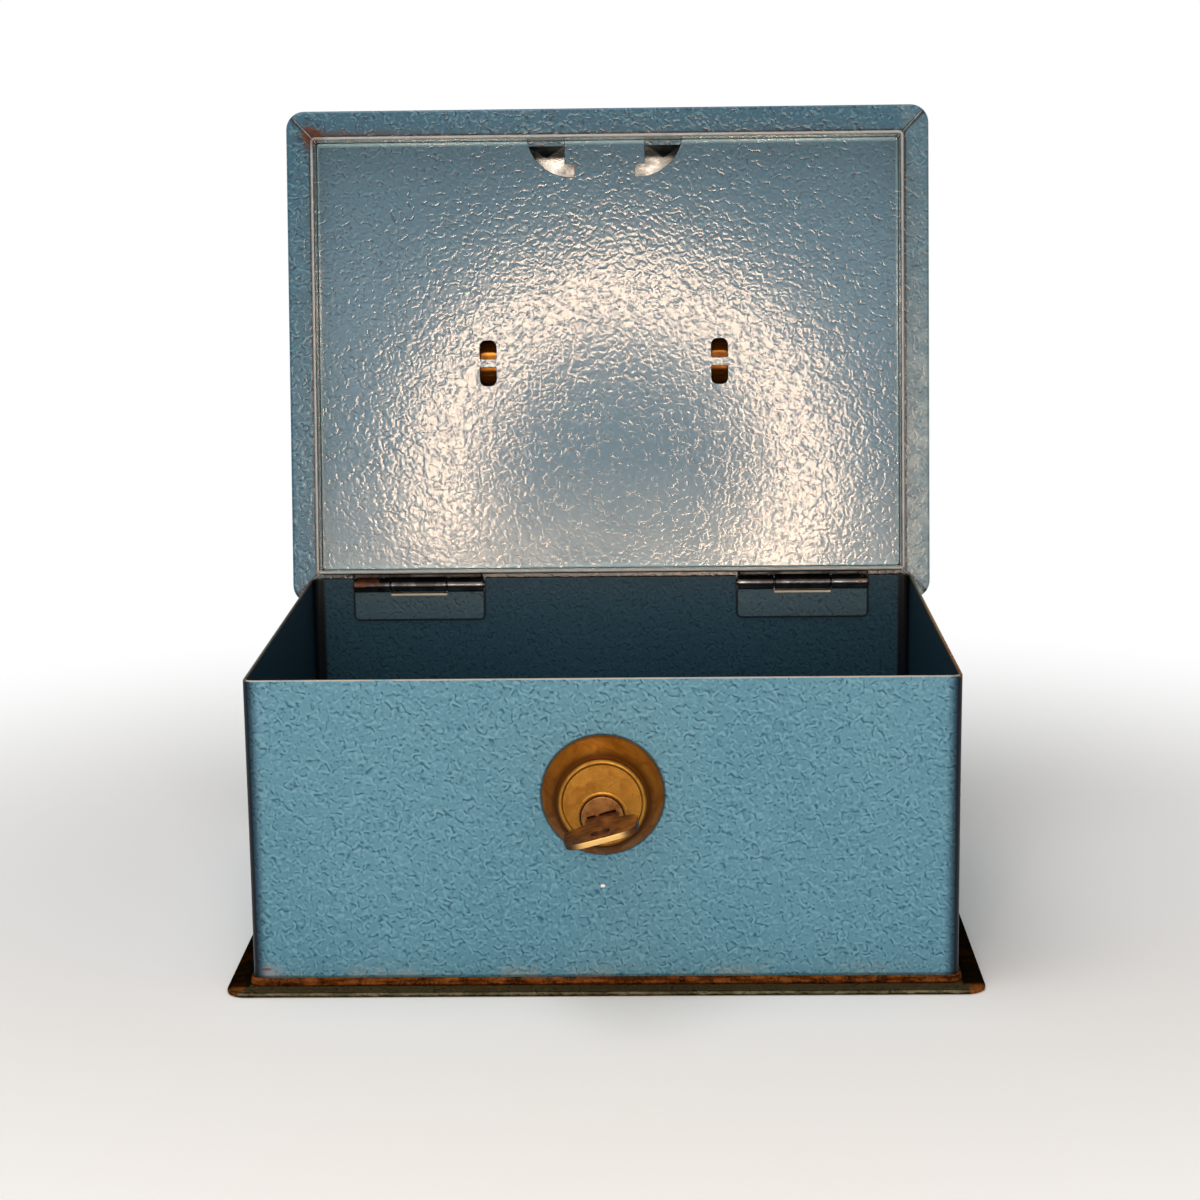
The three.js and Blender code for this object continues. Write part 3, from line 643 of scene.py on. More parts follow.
def side_edges(where):
    """The side walls' top edges are tarnished: dark olive on the left, ochre on the right."""
    x, y, z = axes(where)
    top = times(ramp(z, wall_top - 0.8, wall_top - 0.3), ramp(positive(x), side_x - 1.5, side_x - 1.0))
    right = blend(ramp(y, 0.0, 60.0), rgb(128, 94, 38), rgb(70, 70, 50))
    tint = blend(ramp(x, -50.0, 50.0), rgb(58, 54, 40), right)
    return covered(times(top, ramp(y, -wall_y - 1.0, 1.0 - wall_y, 0.0, 0.92)), tint)


def leaf_sill(where):
    """Bare edge of the opening under the middle knuckle."""
    x, y, z = axes(where)
    near = positive(minus(positive(x), hinge_offset))
    level = positive(minus(z, pin_z - 3.1))
    bare = times(fall(near, middle_knuckle / 2 - 0.2, middle_knuckle / 2 + 0.4), fall(level, 0.3, 0.6))
    return covered(bare, rgb(206, 198, 180))


def wall_rust(where):
    """A little at the foot of the walls, and along the right wall's top edge."""
    x, y, z = axes(where)
    foot = fall(z, paint_foot - 0.2, paint_foot + 1.4, 0.3)
    top = ramp(z, wall_top - 1.3, wall_top - 0.2)
    right = ramp(x, side_x - 1.5, side_x - 0.8)
    return larger(foot, times(top, right, ramp(y, -74.0, 30.0, 0.62, 0.3)))


# %% [markdown]
# On the base the paint has almost gone. The bead at the foot of the walls is rust, the flange is
# brown with dirt, and painted shade darkens its top, the lower half of its edge and its dark olive
# sides. All of these follow height, or distance from the walls.

# %% Masks on the base
def base_rust(where):
    """The bead at the foot of the walls is all rust, the flange only towards its corners."""
    x, y, z = axes(where)
    bead = ramp(z, wall_foot + 0.04, wall_foot + 0.2, 0.1, 1.0)
    side = ramp(positive(x), side_x, side_x + 4.0, 0.0, 0.5)
    corner = ramp(spot(where, (0.0, -80.0, 0.8), (500.0, 6.0, 10.0)), 0.7, 1.3, 1.6, 1.0)
    return larger(bead, times(side, corner))


def flange_top(where):
    """The flange's top is dark: dirt, and painted shade."""
    x, y, z = axes(where)
    return darker(ramp(z, wall_foot - 0.15, wall_foot - 0.02), 0.33, 0.28, 0.22)


def flange_lower_shade(where):
    """Painted shade: the lower half of the flange's edge, which faces down, is nearly black."""
    x, y, z = axes(where)
    varied = times(noise(where, 300.0, detail=3.0), 1.2)
    return darker(fall(plus(z, varied), 0.9, 1.4), 0.10, 0.12, 0.08)


def flange_edge(where):
    """The front edge's rubbed line, patchy and dull."""
    x, y, z = axes(where)
    edge = ramp(positive(y), wall_y + 6.1, wall_y + 6.5)
    patch = ramp(noise(where, 130.0, detail=4.0), 0.40, 0.60, 0.3, 1.0)
    return darker(times(edge, patch), 0.42, 0.40, 0.36)


def bead_shade(where):
    """A dark line where the bead runs out on the flange."""
    x, y, z = axes(where)
    near = times(ramp(z, wall_foot + 0.02, wall_foot + 0.06), fall(z, wall_foot + 0.2, wall_foot + 0.8))
    return darker(near, 0.24, 0.17, 0.11)


def bead_streaks(where):
    """Long dark streaks along the bead: a noise drawn out sideways."""
    x, y, z = axes(where)
    drawn = vectors("MULTIPLY", where, (0.3, 0.3, 2.6))[0]
    streak = ramp(noise(drawn, 420.0, detail=3.0), 0.46, 0.60, 0.0, 0.85)
    return darker(times(streak, ramp(z, wall_foot + 0.1, wall_foot + 0.5)), 0.38, 0.28, 0.18)


def side_flange_shade(where):
    """Painted shade: at the two sides the flange is dark olive, apart from its corners."""
    x, y, z = axes(where)
    side = ramp(positive(x), side_x + 0.4, side_x + 1.2)
    middle = fall(positive(y), wall_y + 0.5, wall_y + 3.5)
    return darker(times(side, middle), 0.10, 0.10, 0.05)


# %% Enamels of the walls, the base and the floor inside
wall_layers = (foot_smears, rubbed_patch, scratch_mark, chip, inside_shade, inner_side_shade, corner_shade,
               edge_shade, leaf_shade_line, lock_shade_ring, foot_line, rubbed_edge, side_edges)
wall_paint = painted("wall_enamel", rgb(78, 127, 148), rgb(33, 76, 98), rgb(118, 165, 183), wall_rust,
                     wall_layers, flake=0.12, shine=0.22, calm=calm_inside)
base_paint = painted("base_enamel", rgb(108, 102, 80), rgb(60, 56, 42), rgb(132, 126, 100), base_rust,
                     (flange_top, flange_lower_shade, flange_edge), flake=0.0, shine=0.0,
                     grime_and_shade=(bead_shade, bead_streaks, side_flange_shade))
# The floor inside is a dark navy: painted shade, as on the inside of the walls.
floor_paint = painted("floor_enamel", rgb(48, 80, 94), rgb(28, 52, 64), rgb(70, 104, 118))
print("enamels:", wall_paint.name, base_paint.name, floor_paint.name)

# %% [markdown]
# ## Body: walls, floor and base
#
# The real walls are one strip of sheet, folded round and welded. It could be a box with
# Solidify. Here one wall section, rounded over at the top, is carried round the plan of the
# box. Its height changes on the way, so the two hinge notches come out of the same sweep.

# %% Plan of the walls
notch_floor = pin_z - knuckle_radius - 0.5
notch_half = hinge_length / 2 + knuckle_gap
corner_x, corner_y = side_x - box_corner, wall_y - box_corner


def wall_plan():
    """Points, outward normals and heights along the walls' outer face, anticlockwise."""
    notch_edges = np.array([s * hinge_offset + t * notch_half for s in (1, -1) for t in (1, -1)])
    fine = (notch_edges[:, None] + np.array([1.0, 0.45, 0.2, 0.05, -0.05, -0.2, -0.45, -1.0])).ravel()
    front = np.linspace(-corner_x, corner_x, 26)
    right = np.linspace(-corner_y, corner_y, 20)
    back = np.unique(np.concatenate([fine, front]))[::-1]
    arc = np.linspace(0, np.pi / 2, 9)[1:-1]
    straight = [(front, -wall_y, -90), (side_x, right, 0), (back, wall_y, 90), (-side_x, right[::-1], 180)]
    middles = [(corner_x, -corner_y), (corner_x, corner_y), (-corner_x, corner_y), (-corner_x, -corner_y)]
    sides = []
    for (x, y, degrees), (middle_x, middle_y) in zip(straight, middles):
        x, y = np.broadcast_arrays(x, y)
        angle = np.full(len(x), math.radians(degrees))
        sides.append(np.stack([x, y, np.cos(angle), np.sin(angle)], axis=1))
        turn = math.radians(degrees) + arc
        x, y = middle_x + box_corner * np.cos(turn), middle_y + box_corner * np.sin(turn)
        sides.append(np.stack([x, y, np.cos(turn), np.sin(turn)], axis=1))
    plan = np.concatenate(sides)
    from_middle = np.abs(np.abs(plan[:, 0]) - hinge_offset)
    inside = np.clip((notch_half - from_middle) / 0.25 + 0.5, 0, 1) * (plan[:, 1] > wall_y - 0.5)
    inside = inside * inside * (3 - 2 * inside)
    return plan[:, :2], plan[:, 2:], wall_top + (notch_floor - wall_top) * inside


plan, facing, top = wall_plan()
print("wall plan:", len(plan), "columns; lowest top edge", round(float(top.min()), 2), "mm")

# %% [markdown]
# A sheet this thin is never quite flat. A slow wave of about a tenth of a millimetre, worked
# out from the distance along the wall and the height, bends the reflections as on the real
# box. It pushes inwards only, so the box keeps its size.

# %% Walls
def wall_rings():
    """Each column's section: up the outer face, over the rounded edge, down the inner face."""
    over = np.linspace(0, np.pi, 9)
    round_in = wall_thick / 2 * (1 - np.cos(over))
    round_up = wall_thick / 2 * (np.sin(over) - 1)
    rise = np.linspace(0, 1, 9)[:-1]
    depth_in = np.concatenate([np.zeros(8), round_in, np.full(8, wall_thick)])
    straight = (top - wall_thick / 2 - wall_foot)[:, None]
    up = wall_foot + straight * rise[None]
    edge = (top[:, None] + round_up[None])
    z = np.concatenate([up, edge, up[:, ::-1]], axis=1)
    run = np.concatenate([[0], np.cumsum(np.linalg.norm(np.diff(plan, axis=0), axis=1))])
    total = run[-1] + np.linalg.norm(plan[0] - plan[-1])
    around = run[:, None] / total * 2 * np.pi
    fade = np.sin(np.clip((z - 2) / 86, 0, 1) * np.pi)
    wave = 0.05 * (np.sin(5 * around + z / 31) + np.sin(9 * around - z / 23) - 2) * fade
    rings = np.empty((len(plan), z.shape[1], 3))
    rings[:, :, :2] = plan[:, None] - facing[:, None] * (depth_in[None, :, None] - wave[:, :, None])
    rings[:, :, 2] = z
    return rings


walls = stacked(wall_rings())
piece("box_walls", [walls], "root", wall_paint, "box_body")
floor_play, floor_thick = 0.04, 0.9
floor_width, floor_depth = (size - 2 * wall_thick - floor_play for size in (box_width, box_depth))
floor_sheet = moved(plate([rounded_rectangle(floor_width, floor_depth, 2.1)], floor_thick, 0.1), z=wall_foot)
piece("box_floor", [floor_sheet], "root", floor_paint)

# %% [markdown]
# ## Base
#
# The base is a plate that stands out 7 mm all round as a flange, with a bead against the foot
# of the walls. The bead could be a curve with a round profile. A section carried round the
# plan gives it the hollow that weld and rust leave between wall and flange.

# %% Base plate and bead
def bead_rings(profile, steps=8):
    """The rounded plan at each point of the profile: distance outside the wall, and height."""
    rings = np.empty((len(profile), 4 * (steps + 1), 3))
    for index, (out, height) in enumerate(profile):
        width, depth = box_width + 2 * out, box_depth + 2 * out
        rings[index, :, :2] = rounded_rectangle(width, depth, box_corner + out, steps)
        rings[index, :, 2] = height
    return rings


flange_width, flange_depth, flange_corner = 214.2, 167.2, 6.0
flange = plate([rounded_rectangle(flange_width, flange_depth, flange_corner, 10)], wall_foot, 0.42, 4)
bead = softened([(0.06, 1.2), (1.5, 1.25), (0.98, 1.9), (0.84, 3.1), (0.4, 3.45), (0.06, 3.4)],
                [0, 0.2, 0.5, 0.3, 0.15, 0], 4)
base_parts = [flange, stacked(bead_rings(bead))]
piece("base_plate_and_bead", base_parts, "root", base_paint, "base_plate")

# %% [markdown]
# ## Hinges
#
# Each hinge is a painted leaf on the back wall with two dark knuckles, the lid's own leaf with
# the middle knuckle, and a pin. A knuckle is a short tube with rounded ends, so it is a small
# closed profile turned about the pin. The barrels were not painted, and they are dark and
# shiny from use, with rust on the outer left one.

# %% Hinge steel
def hinge_rust(where):
    """Rust on the outer left knuckle and at the far right end."""
    x, y, z = axes(where)
    ends = larger(fall(x, -78.5, -73.5, 0.66), ramp(x, 79.0, 83.0, 0.0, 0.5))
    return times(ends, ramp(z, pin_z - 1.0, pin_z + 0.6, 0.35, 1.0))


def rust_tone(where):
    """The left barrel's rust is dark."""
    x, y, z = axes(where)
    return darker(fall(x, -78.5, -73.5, 0.9), 0.62, 0.50, 0.46)


def off_the_barrel(where):
    """Beyond the knuckles' radius the leaf is black."""
    x, y, z = axes(where)
    away = distance(minus(y, pin_y), minus(z, pin_z))
    return darker(ramp(away, knuckle_radius + 0.02, knuckle_radius + 0.15), 0.10, 0.10, 0.10)


def bare_metal(name, colour, second, metallic=0.9, rough=0.3, scratch=0.00002, where_rusty=None,
               patch_scale=160.0, layers=()):
    """Bare or lacquered metal: two tones in clouds, fine scratches, rust if it has any, and layers."""
    material, nodes, shader, where = start_material(name, metallic, rough)
    cloud = noise(where, patch_scale, detail=5.0, rough=0.6, distortion=0.4)
    tone = blend(ramp(cloud, 0.36, 0.66), colour, second)
    roughness = ramp(cloud, 0.3, 0.7, rough * 0.75, rough * 1.35)
    if where_rusty:
        mask, tone = rusted(tone, where, where_rusty(where))
        roughness = plus(roughness, ramp(mask, 0.0, 1.0, 0.0, 0.3))
        nodes.links.new(ramp(mask, 0.0, 1.0, metallic, 0.2), shader.inputs["Metallic"])
    nodes.links.new(roughness, shader.inputs["Roughness"])
    relief = plus(times(cloud, 0.6), times(noise(where, 2400.0, detail=2.0), 0.4))
    finished(shader, layered(tone, where, layers), relief, scratch)
    return material


dark_steel = bare_metal("dark_hinge_steel", rgb(92, 93, 95), rgb(48, 48, 50), 0.9, 0.22, 0.00003, hinge_rust,
                        layers=(off_the_barrel, rust_tone))
# The leaves inside the back wall are a darker blue than the outside: painted shade, as inside the walls.
leaf_paint = painted("leaf_enamel", rgb(56, 84, 98), rgb(30, 52, 64), rgb(74, 102, 114), None, (leaf_sill,),
                     depth=0.00003)
plated = bare_metal("plated_steel", rgb(176, 174, 168), rgb(150, 146, 138), 0.95, 0.28)
print("hinge finishes:", dark_steel.name, leaf_paint.name, plated.name)


# %% Hinge pieces
def knuckle(middle, length, place=(0.0, pin_y, pin_z)):
    """A short tube on the pin: a closed profile of radius and length, turned, with soft ends."""
    inner, outer, half = 1.22, knuckle_radius, length / 2
    corners = [(inner, -half), (outer, -half), (outer, half), (inner, half)]
    profile = softened(corners, [0.1, 0.35, 0.35, 0.1], 4)
    tube = swapped(turned(profile, 40, wrap=True), (1, 0, 2))
    return moved(tube, middle + place[0], place[1], place[2])


outer_length = (hinge_length - middle_knuckle - 2 * knuckle_gap) / 2
for side, word in ((-1, "left"), (1, "right")):
    x = side * hinge_offset
    half, gap = hinge_length / 2, middle_knuckle / 2 + knuckle_gap
    low, sill, high = wall_top - 13.8, notch_floor, pin_z - 0.4
    outline = softened(
        [(x - half, low), (x + half, low), (x + half, high), (x + gap, high), (x + gap, sill),
         (x - gap, sill), (x - gap, high), (x - half, high)], [1.6, 1.6, 0.2, 0.2, 0.5, 0.5, 0.2, 0.2], 6)
    leaf = along_y(plate([outline], 1.0, 0.22), pin_y + 0.1)
    piece(f"{word}_hinge_leaf_on_wall", [leaf], "root", leaf_paint, f"{word}_hinge_box_leaf")
    away = (hinge_length - outer_length) / 2
    barrels = [knuckle(x + away, outer_length), knuckle(x - away, outer_length)]
    piece(f"{word}_hinge_outer_knuckles", barrels, "root", dark_steel)
    end = half + 0.5
    pin = softened([(0, -end), (1.1, -end), (1.1, end), (0, end)], [0, 0.4, 0.4, 0], 4, closed=False)
    body = moved(swapped(turned(pin, 32), (1, 0, 2)), x, pin_y, pin_z)
    piece(f"{word}_hinge_pin_steel", [body], "root", dark_steel, f"{word}_hinge_pin")

# %% [markdown]
# ## The lid's own frame
#
# The lid leans back 8 degrees past upright. Its shapes are easier to think of lying shut, so
# they are drawn with the hinge pin at the origin, the front edge towards -Y and up towards +Z,
# and then turned about the pin to where the open lid stands.

# %% From the lid's frame to the shared frame
lid_angle = math.radians(-98)


def on_lid(part):
    """A turn about X by the opening angle, then a move to the pin."""
    x, y, z = part[0].T
    turned_y = y * math.cos(lid_angle) - z * math.sin(lid_angle) + pin_y
    turned_z = y * math.sin(lid_angle) + z * math.cos(lid_angle) + pin_z
    return np.stack([x, turned_y, turned_z], axis=1), part[1]


def lid_axes(where):
    """Across the lid, from the pin towards its front, and up off its underside."""
    x, y, z = axes(where)
    dy, dz = minus(y, pin_y), minus(z, pin_z)
    c, s = math.cos(lid_angle), math.sin(lid_angle)
    return x, minus(times(dz, -s), times(dy, c)), minus(times(dz, c), times(dy, s))


hem_under, hem_thick, hem_border = 3.2, 1.8, 9.9
lip_width, lip_depth, lip_thick, lip_drop = 193.0, 143.6, 1.2, 8.0
lid_middle = -(3.9 + lip_depth / 2)
hem_top = hem_under + hem_thick
crown_top = hem_top + 10.199
lip_outer_width, lip_outer_depth, lip_ahead = lip_width + 2.0, lip_depth + 0.5, 0.25
lip_middle = lid_middle - lip_ahead
print("lid middle", round(lid_middle, 2), "mm before the pin; crown top", round(crown_top, 2), "mm above it")

# %% [markdown]
# ## Lid shell
#
# The shell is one pressing: a crowned top, a hem folded back on itself all round, and a lip
# that drops inside the walls. Instead of modelling a box and shaping it, the section from the
# top's middle to the lip's inner face is listed once, as size, corner and height, and each
# entry becomes a rounded rectangle. Neighbouring rectangles are joined into one closed skin.

# %% Section of the lid shell
def quarter(start, end, bulge, steps=5):
    """Entries between two others along an elliptical quarter; bulge 0 turns late, 1 early."""
    t = np.linspace(0, np.pi / 2, steps + 1)[1:-1, None]
    first, last = (np.sin(t), 1 - np.cos(t)) if bulge else (1 - np.cos(t), np.sin(t))
    start, end = np.array(start, float), np.array(end, float)
    mix = np.concatenate([first, first, first, last, first], axis=1)
    return start + (end - start) * mix


def lid_section():
    """Rows of width, depth, corner radius, height and shift, from the crown's top down to the lip."""
    crown_w, crown_d, crown_corner = lip_width - 3.0, lip_depth - 3.0, 11.2
    hem_w, hem_d, hem_corner = lip_width + 2 * hem_border, lip_depth + 2 * hem_border, 6.0
    sheet, slant, top_round, foot_round = hem_thick / 2, 1.2, 3.0, 0.8
    lip_corner, lip_round, lip_half = 1.8, 0.5, lip_thick / 2

    def inset(w, d, r, by, z, shift=0.0):
        return np.array([w - 2 * by, d - 2 * by, r - by, z, shift])

    def crown(by, z):
        return inset(crown_w, crown_d, crown_corner, by, z)

    def lip(by, z):
        return inset(lip_outer_width, lip_outer_depth, lip_corner, by, z, -lip_ahead)

    flat, shoulder = crown(slant + top_round, crown_top), crown(slant, crown_top - top_round)
    foot, spread = crown(0.12, hem_top + foot_round), crown(-0.7, hem_top)
    rows = [[flat], quarter(flat, shoulder, 1), [shoulder, foot], quarter(foot, spread, 0), [spread]]
    turn = np.linspace(0, np.pi, 9)
    rows.append([inset(hem_w, hem_d, hem_corner, sheet * (1 - math.sin(t)),
                       hem_under + sheet * (1 + math.cos(t))) for t in turn])
    lip_out, lip_turn = lip(-lip_round, hem_under), lip(0.0, hem_under - lip_round)
    rows += [[lip_out], quarter(lip_out, lip_turn, 0), [lip_turn]]
    tip = hem_under - lip_drop + lip_half
    rows.append([lip(lip_half * (1 - math.cos(t)), tip - lip_half * math.sin(t)) for t in turn])
    rows.append([lip(lip_thick, hem_under + 1.0), lip(lip_thick + 0.15, hem_under + 1.2)])
    rows.append([crown(sheet, hem_under + 1.2), crown(sheet + 0.15, hem_under + 2.0)])
    inner_shoulder = crown(slant + sheet, crown_top - top_round - sheet)
    inner_flat = crown(slant + top_round + sheet, crown_top - sheet)
    rows += [[inner_shoulder], quarter(inner_shoulder, inner_flat, 0), [inner_flat]]
    return np.concatenate([np.array(block, float).reshape(-1, 5) for block in rows])


section = lid_section()


def lid_rings(rows, steps=9):
    """The rounded rectangle of each row, one above another."""
    rings = np.empty((len(rows), 4 * (steps + 1), 3))
    for index, (width, depth, corner, height, shift) in enumerate(rows):
        rings[index, :, :2] = rounded_rectangle(width, depth, max(corner, 0.25), steps)
        rings[index, :, 1] += shift + lid_middle
        rings[index, :, 2] = height
    return rings


print("lid section:", len(section), "steps from the crown to the inner skin")

# %% [markdown]
# The shell shows three finishes: blue enamel outside and on the hem, a lip whose tip is rubbed
# pale, and bright unpainted steel inside the double skin. Splitting the mesh would open the
# sheet, so one material tells them apart by height above the lid's underside and by distance
# from its middle.

# %% Lid enamel
def beyond_lip(where):
    """How far a place lies outside the lip's rectangle, over its sides and over its ends."""
    x, along, up = lid_axes(where)
    over_side = minus(positive(x), lip_outer_width / 2)
    over_end = minus(positive(plus(along, lip_middle)), lip_outer_depth / 2)
    return over_side, over_end, larger(over_side, over_end)


def underside(up):
    """1 on the side that faces into the box: the lip and the hem's inner face."""
    return fall(up, 4.0, 4.4)


# %% Rust at the lid's corner
def lid_corner(where, near, far):
    """1 at the front left corner of the lip's root, 0 beyond a distance."""
    x, along, up = lid_axes(where)
    ragged = times(noise(where, 420.0, detail=3.0), 5.0)
    away = minus(distance(plus(x, 98.0), minus(along, 149.0)), ragged)
    return times(fall(away, near, far), underside(up))


def lid_rust(where):
    """Dark rust round the front left inner corner of the hem."""
    over_side, over_end, over = beyond_lip(where)
    return times(lid_corner(where, -1.4, 3.0), 0.75, ramp(over, 0.0, 0.4))


def rust_shade(where):
    """That rust is darker and redder than the base's."""
    return darker(lid_corner(where, -0.6, 5.0), 0.62, 0.44, 0.44)


def rust_stain(where):
    """A brown-grey stain that runs from that corner along the lip's root and fades out."""
    x, along, up = lid_axes(where)
    over_side, over_end, over = beyond_lip(where)
    wide = minus(over, times(noise(where, 240.0, detail=3.0), 3.0))
    beside = times(fall(wide, 0.2, 2.2), ramp(over, 0.0, 0.4))
    near = times(fall(x, -90.0, -44.0, 0.85), ramp(along, 143.0, 147.0))
    return covered(times(beside, near, underside(up)), rgb(82, 58, 50))


# %% Wear and dirt on the lip and the hem
def lip_pale(where):
    """The lip's tip is rubbed to a pale beige; its inner face is painted dark at the sides as shade and pale
    at the ends as light.
    """
    x, along, up = lid_axes(where)
    over_side, over_end, over = beyond_lip(where)
    rubbed = noise(where, 160.0, detail=4.0)
    inner = blend(ramp(minus(over_end, over_side), -0.3, 0.3), rgb(62, 78, 86), rgb(150, 152, 146))
    inner = blend(ramp(rubbed, 0.46, 0.66), inner, rgb(108, 119, 122))
    tint = blend(ramp(over, -1.0, -0.8), inner, rgb(164, 158, 150))
    lip = times(fall(over, -0.3, -0.1), underside(up))
    return covered(times(lip, ramp(rubbed, 0.3, 0.5, 0.75, 1.0)), tint)


def lip_root(where):
    """Black in the angle between hem and lip, painted shade with some dirt, which shows beside the lip's tip.
    """
    x, along, up = lid_axes(where)
    over_side, over_end, over = beyond_lip(where)
    varied = times(noise(where, 200.0, detail=3.0), 0.5)
    near = times(fall(minus(over, varied), 1.0, 1.3), ramp(over, -0.45, -0.3), ramp(up, 1.2, 3.0))
    return darker(times(near, underside(up)), 0.06, 0.06, 0.06)


def rear_root(where):
    """Next to the hinges the hem is black."""
    x, along, up = lid_axes(where)
    near = times(fall(along, 2.8, 3.8), fall(positive(x), 95.5, 97.0))
    return darker(times(near, underside(up)), 0.08, 0.08, 0.08)


def hem_painted_sheen(where):
    """Painted reflection of the lamps' haze: the right-hand hem is paler, most of all near the hinge."""
    x, along, up = lid_axes(where)
    near = times(ramp(x, 96.5, 98.5), ramp(along, 30.0, 125.0, 0.62, 0.12))
    varied = times(near, ramp(noise(where, 260.0, detail=3.0), 0.38, 0.62, 0.45, 1.0))
    return covered(times(varied, underside(up)), rgb(176, 182, 176))


def mitre_dirt(where):
    """Dark edges beside each mitre seam, where the two overhangs are equal."""
    x, along, up = lid_axes(where)
    over_side, over_end, over = beyond_lip(where)
    line = fall(positive(minus(over_side, over_end)), 0.8, 1.2, 0.95)
    out = times(ramp(over, 0.0, 0.6), fall(over, 8.8, 9.6))
    return darker(times(line, out, underside(up)), 0.08, 0.09, 0.10)


# %% [markdown]
# Two claw-shaped windows in the liner show what lies behind them: the lip's sheet, painted black
# as shade, a V of blue-grey overspray and painted shade on the bare steel, and a narrower V of
# painted shade above it. Each follows the distance from the middle of its window.

# %% Behind the claw windows
def claw_window(where):
    """How far a place lies aside from the middle of its claw window, and how far towards the front."""
    x, along, up = lid_axes(where)
    aside = positive(minus(positive(plus(x, 0.7)), 19.6))
    return aside, plus(along, times(minus(14.3, up), 0.118))


def window_hollow_shade(where):
    """Painted shade: the lip's inner face is black where it shows through a claw window."""
    x, along, up = lid_axes(where)
    aside, ahead = claw_window(where)
    over_side, over_end, over = beyond_lip(where)
    through = times(fall(aside, 6.0, 6.4), ramp(up, 1.2, 1.8), underside(up))
    inner = times(through, ramp(along, 130.0, 131.0), fall(over, -1.0, -0.8))
    return covered(inner, rgb(16, 18, 22))


def window_spray_and_shade(where):
    """Blue-grey overspray that came through each window, deepened by painted shade, with a border like a wide
    V.
    """
    aside, ahead = claw_window(where)
    edge = minus(minus(ahead, times(aside, 0.65)), times(noise(where, 300.0), 1.2))
    return covered(ramp(edge, 141.3, 141.9), rgb(52, 66, 78))


def window_wedge(where):
    """The black shade above it, a narrower V."""
    aside, ahead = claw_window(where)
    edge = minus(ahead, times(aside, 1.2))
    return covered(larger(ramp(edge, 143.9, 144.6), ramp(ahead, 146.3, 146.7)), rgb(5, 7, 10))


# %% Lid paint and shell
lid_layers = (hem_painted_sheen, lip_pale, rust_stain, lip_root, rear_root, mitre_dirt, window_hollow_shade)
hem_paint = painted("lid_enamel", rgb(40, 87, 108), rgb(6, 34, 52), rgb(92, 138, 154), lid_rust, lid_layers,
                    gloss=0.18, flake=0.0, depth=0.00006, lines=1.0, lips=0.75, scale=440.0, swell=0.8,
                    dents=0.7, shine=0.45, grime_and_shade=(rust_shade,))
bright_steel = bare_metal("bright_inner_steel", rgb(205, 205, 202), rgb(160, 160, 158), 0.95, 0.36, 0.00030,
                          layers=(window_spray_and_shade, window_wedge))
pressing = on_lid(stacked(lid_rings(section), wrap=False))
shell = piece("lid_shell_pressing", [pressing], "lid", hem_paint, "lid_shell")
shell.data.materials.append(bright_steel)
face_count = len(shell.data.polygons)
centres, normals = np.empty(3 * face_count), np.empty(3 * face_count)
shell.data.polygons.foreach_get("center", centres)
shell.data.polygons.foreach_get("normal", normals)
centres, normals = centres.reshape(-1, 3) / MM, normals.reshape(-1, 3)
from_pin = centres - np.array([0.0, pin_y, pin_z])
along_lid = np.array([0.0, -math.cos(lid_angle), -math.sin(lid_angle)])
off_lid = np.array([0.0, -math.sin(lid_angle), math.cos(lid_angle)])
hollow_middle = -lid_middle * along_lid + (hem_top + 3.0) * off_lid
faces_hollow = ((hollow_middle - from_pin) * normals).sum(axis=1) > 0
under_crown = np.abs(centres[:, 0]) < lip_width / 2 - lip_thick
under_crown &= np.abs(from_pin @ along_lid + lid_middle) < lip_depth / 2 - lip_thick
bare = faces_hollow & under_crown & (from_pin @ off_lid > hem_under + 1.0)
shell.data.polygons.foreach_set("material_index", bare.astype(np.int32))
print("bare steel faces inside the lid:", int(bare.sum()), "of", face_count)


# %% [markdown]
# Where two strips of the hem meet, the fold leaves a mitre: a fine raised seam from the lip's
# corner to the outer corner. A line painted by the material would vanish in a side light, so
# each seam is a low round ridge, a half cylinder laid across the hem.

# %% Mitre seams
def ridge(start, end, width=0.36, height=0.14, steps=8):
    """A half-round bar on a flat: sections across the line, their ends drawn to a point."""
    start, end = np.array(start, float), np.array(end, float)
    run = (end - start) / np.linalg.norm(end - start)
    across = np.array([-run[1], run[0]])
    t = np.linspace(0, 1, 24)
    swell = np.sqrt(np.clip(np.sin(t * np.pi), 0, 1)) ** 0.5
    turn = np.arange(2 * steps) / (2 * steps) * 2 * np.pi
    rings = np.empty((len(t), len(turn), 3))
    offset = (width / 2 * np.cos(turn))[None] * swell[:, None]
    rings[:, :, :2] = (start + (end - start) * t[:, None])[:, None] + offset[:, :, None] * across
    rings[:, :, 2] = hem_under + height * np.sin(turn)[None] * swell[:, None]
    last = (len(t) - 1) * len(turn)
    ends = [list(range(len(turn)))[::-1], list(range(last, last + len(turn)))]
    return rings.reshape(-1, 3), skin(rings) + ends


seam_metal = bare_metal("seam_steel", rgb(140, 148, 146), rgb(92, 108, 112), 0.5, 0.4)
seams = []
root_x, root_y = lip_outer_width / 2 + 0.2, lip_outer_depth / 2 + 0.2
rim_x, rim_y = lip_width / 2 + hem_border - 2.0, lip_depth / 2 + hem_border - 2.0
for side in (-1, 1):
    for end in (-1, 1):
        inner = (side * root_x, lip_middle + end * root_y)
        outer = (side * rim_x, lid_middle + end * rim_y)
        seams.append(on_lid(ridge(inner, outer)))
piece("hem_mitre_seams", seams, "lid", seam_metal)

# %% [markdown]
# ## Liner
#
# The liner is a flat sheet set inside the lip. Two claw-shaped windows at its front edge let
# the lock's hook pass, and two long slots show the handle's saddles. The windows are notches in
# the outline itself, and each slot is a pair of holes, so the whole sheet is one plate.

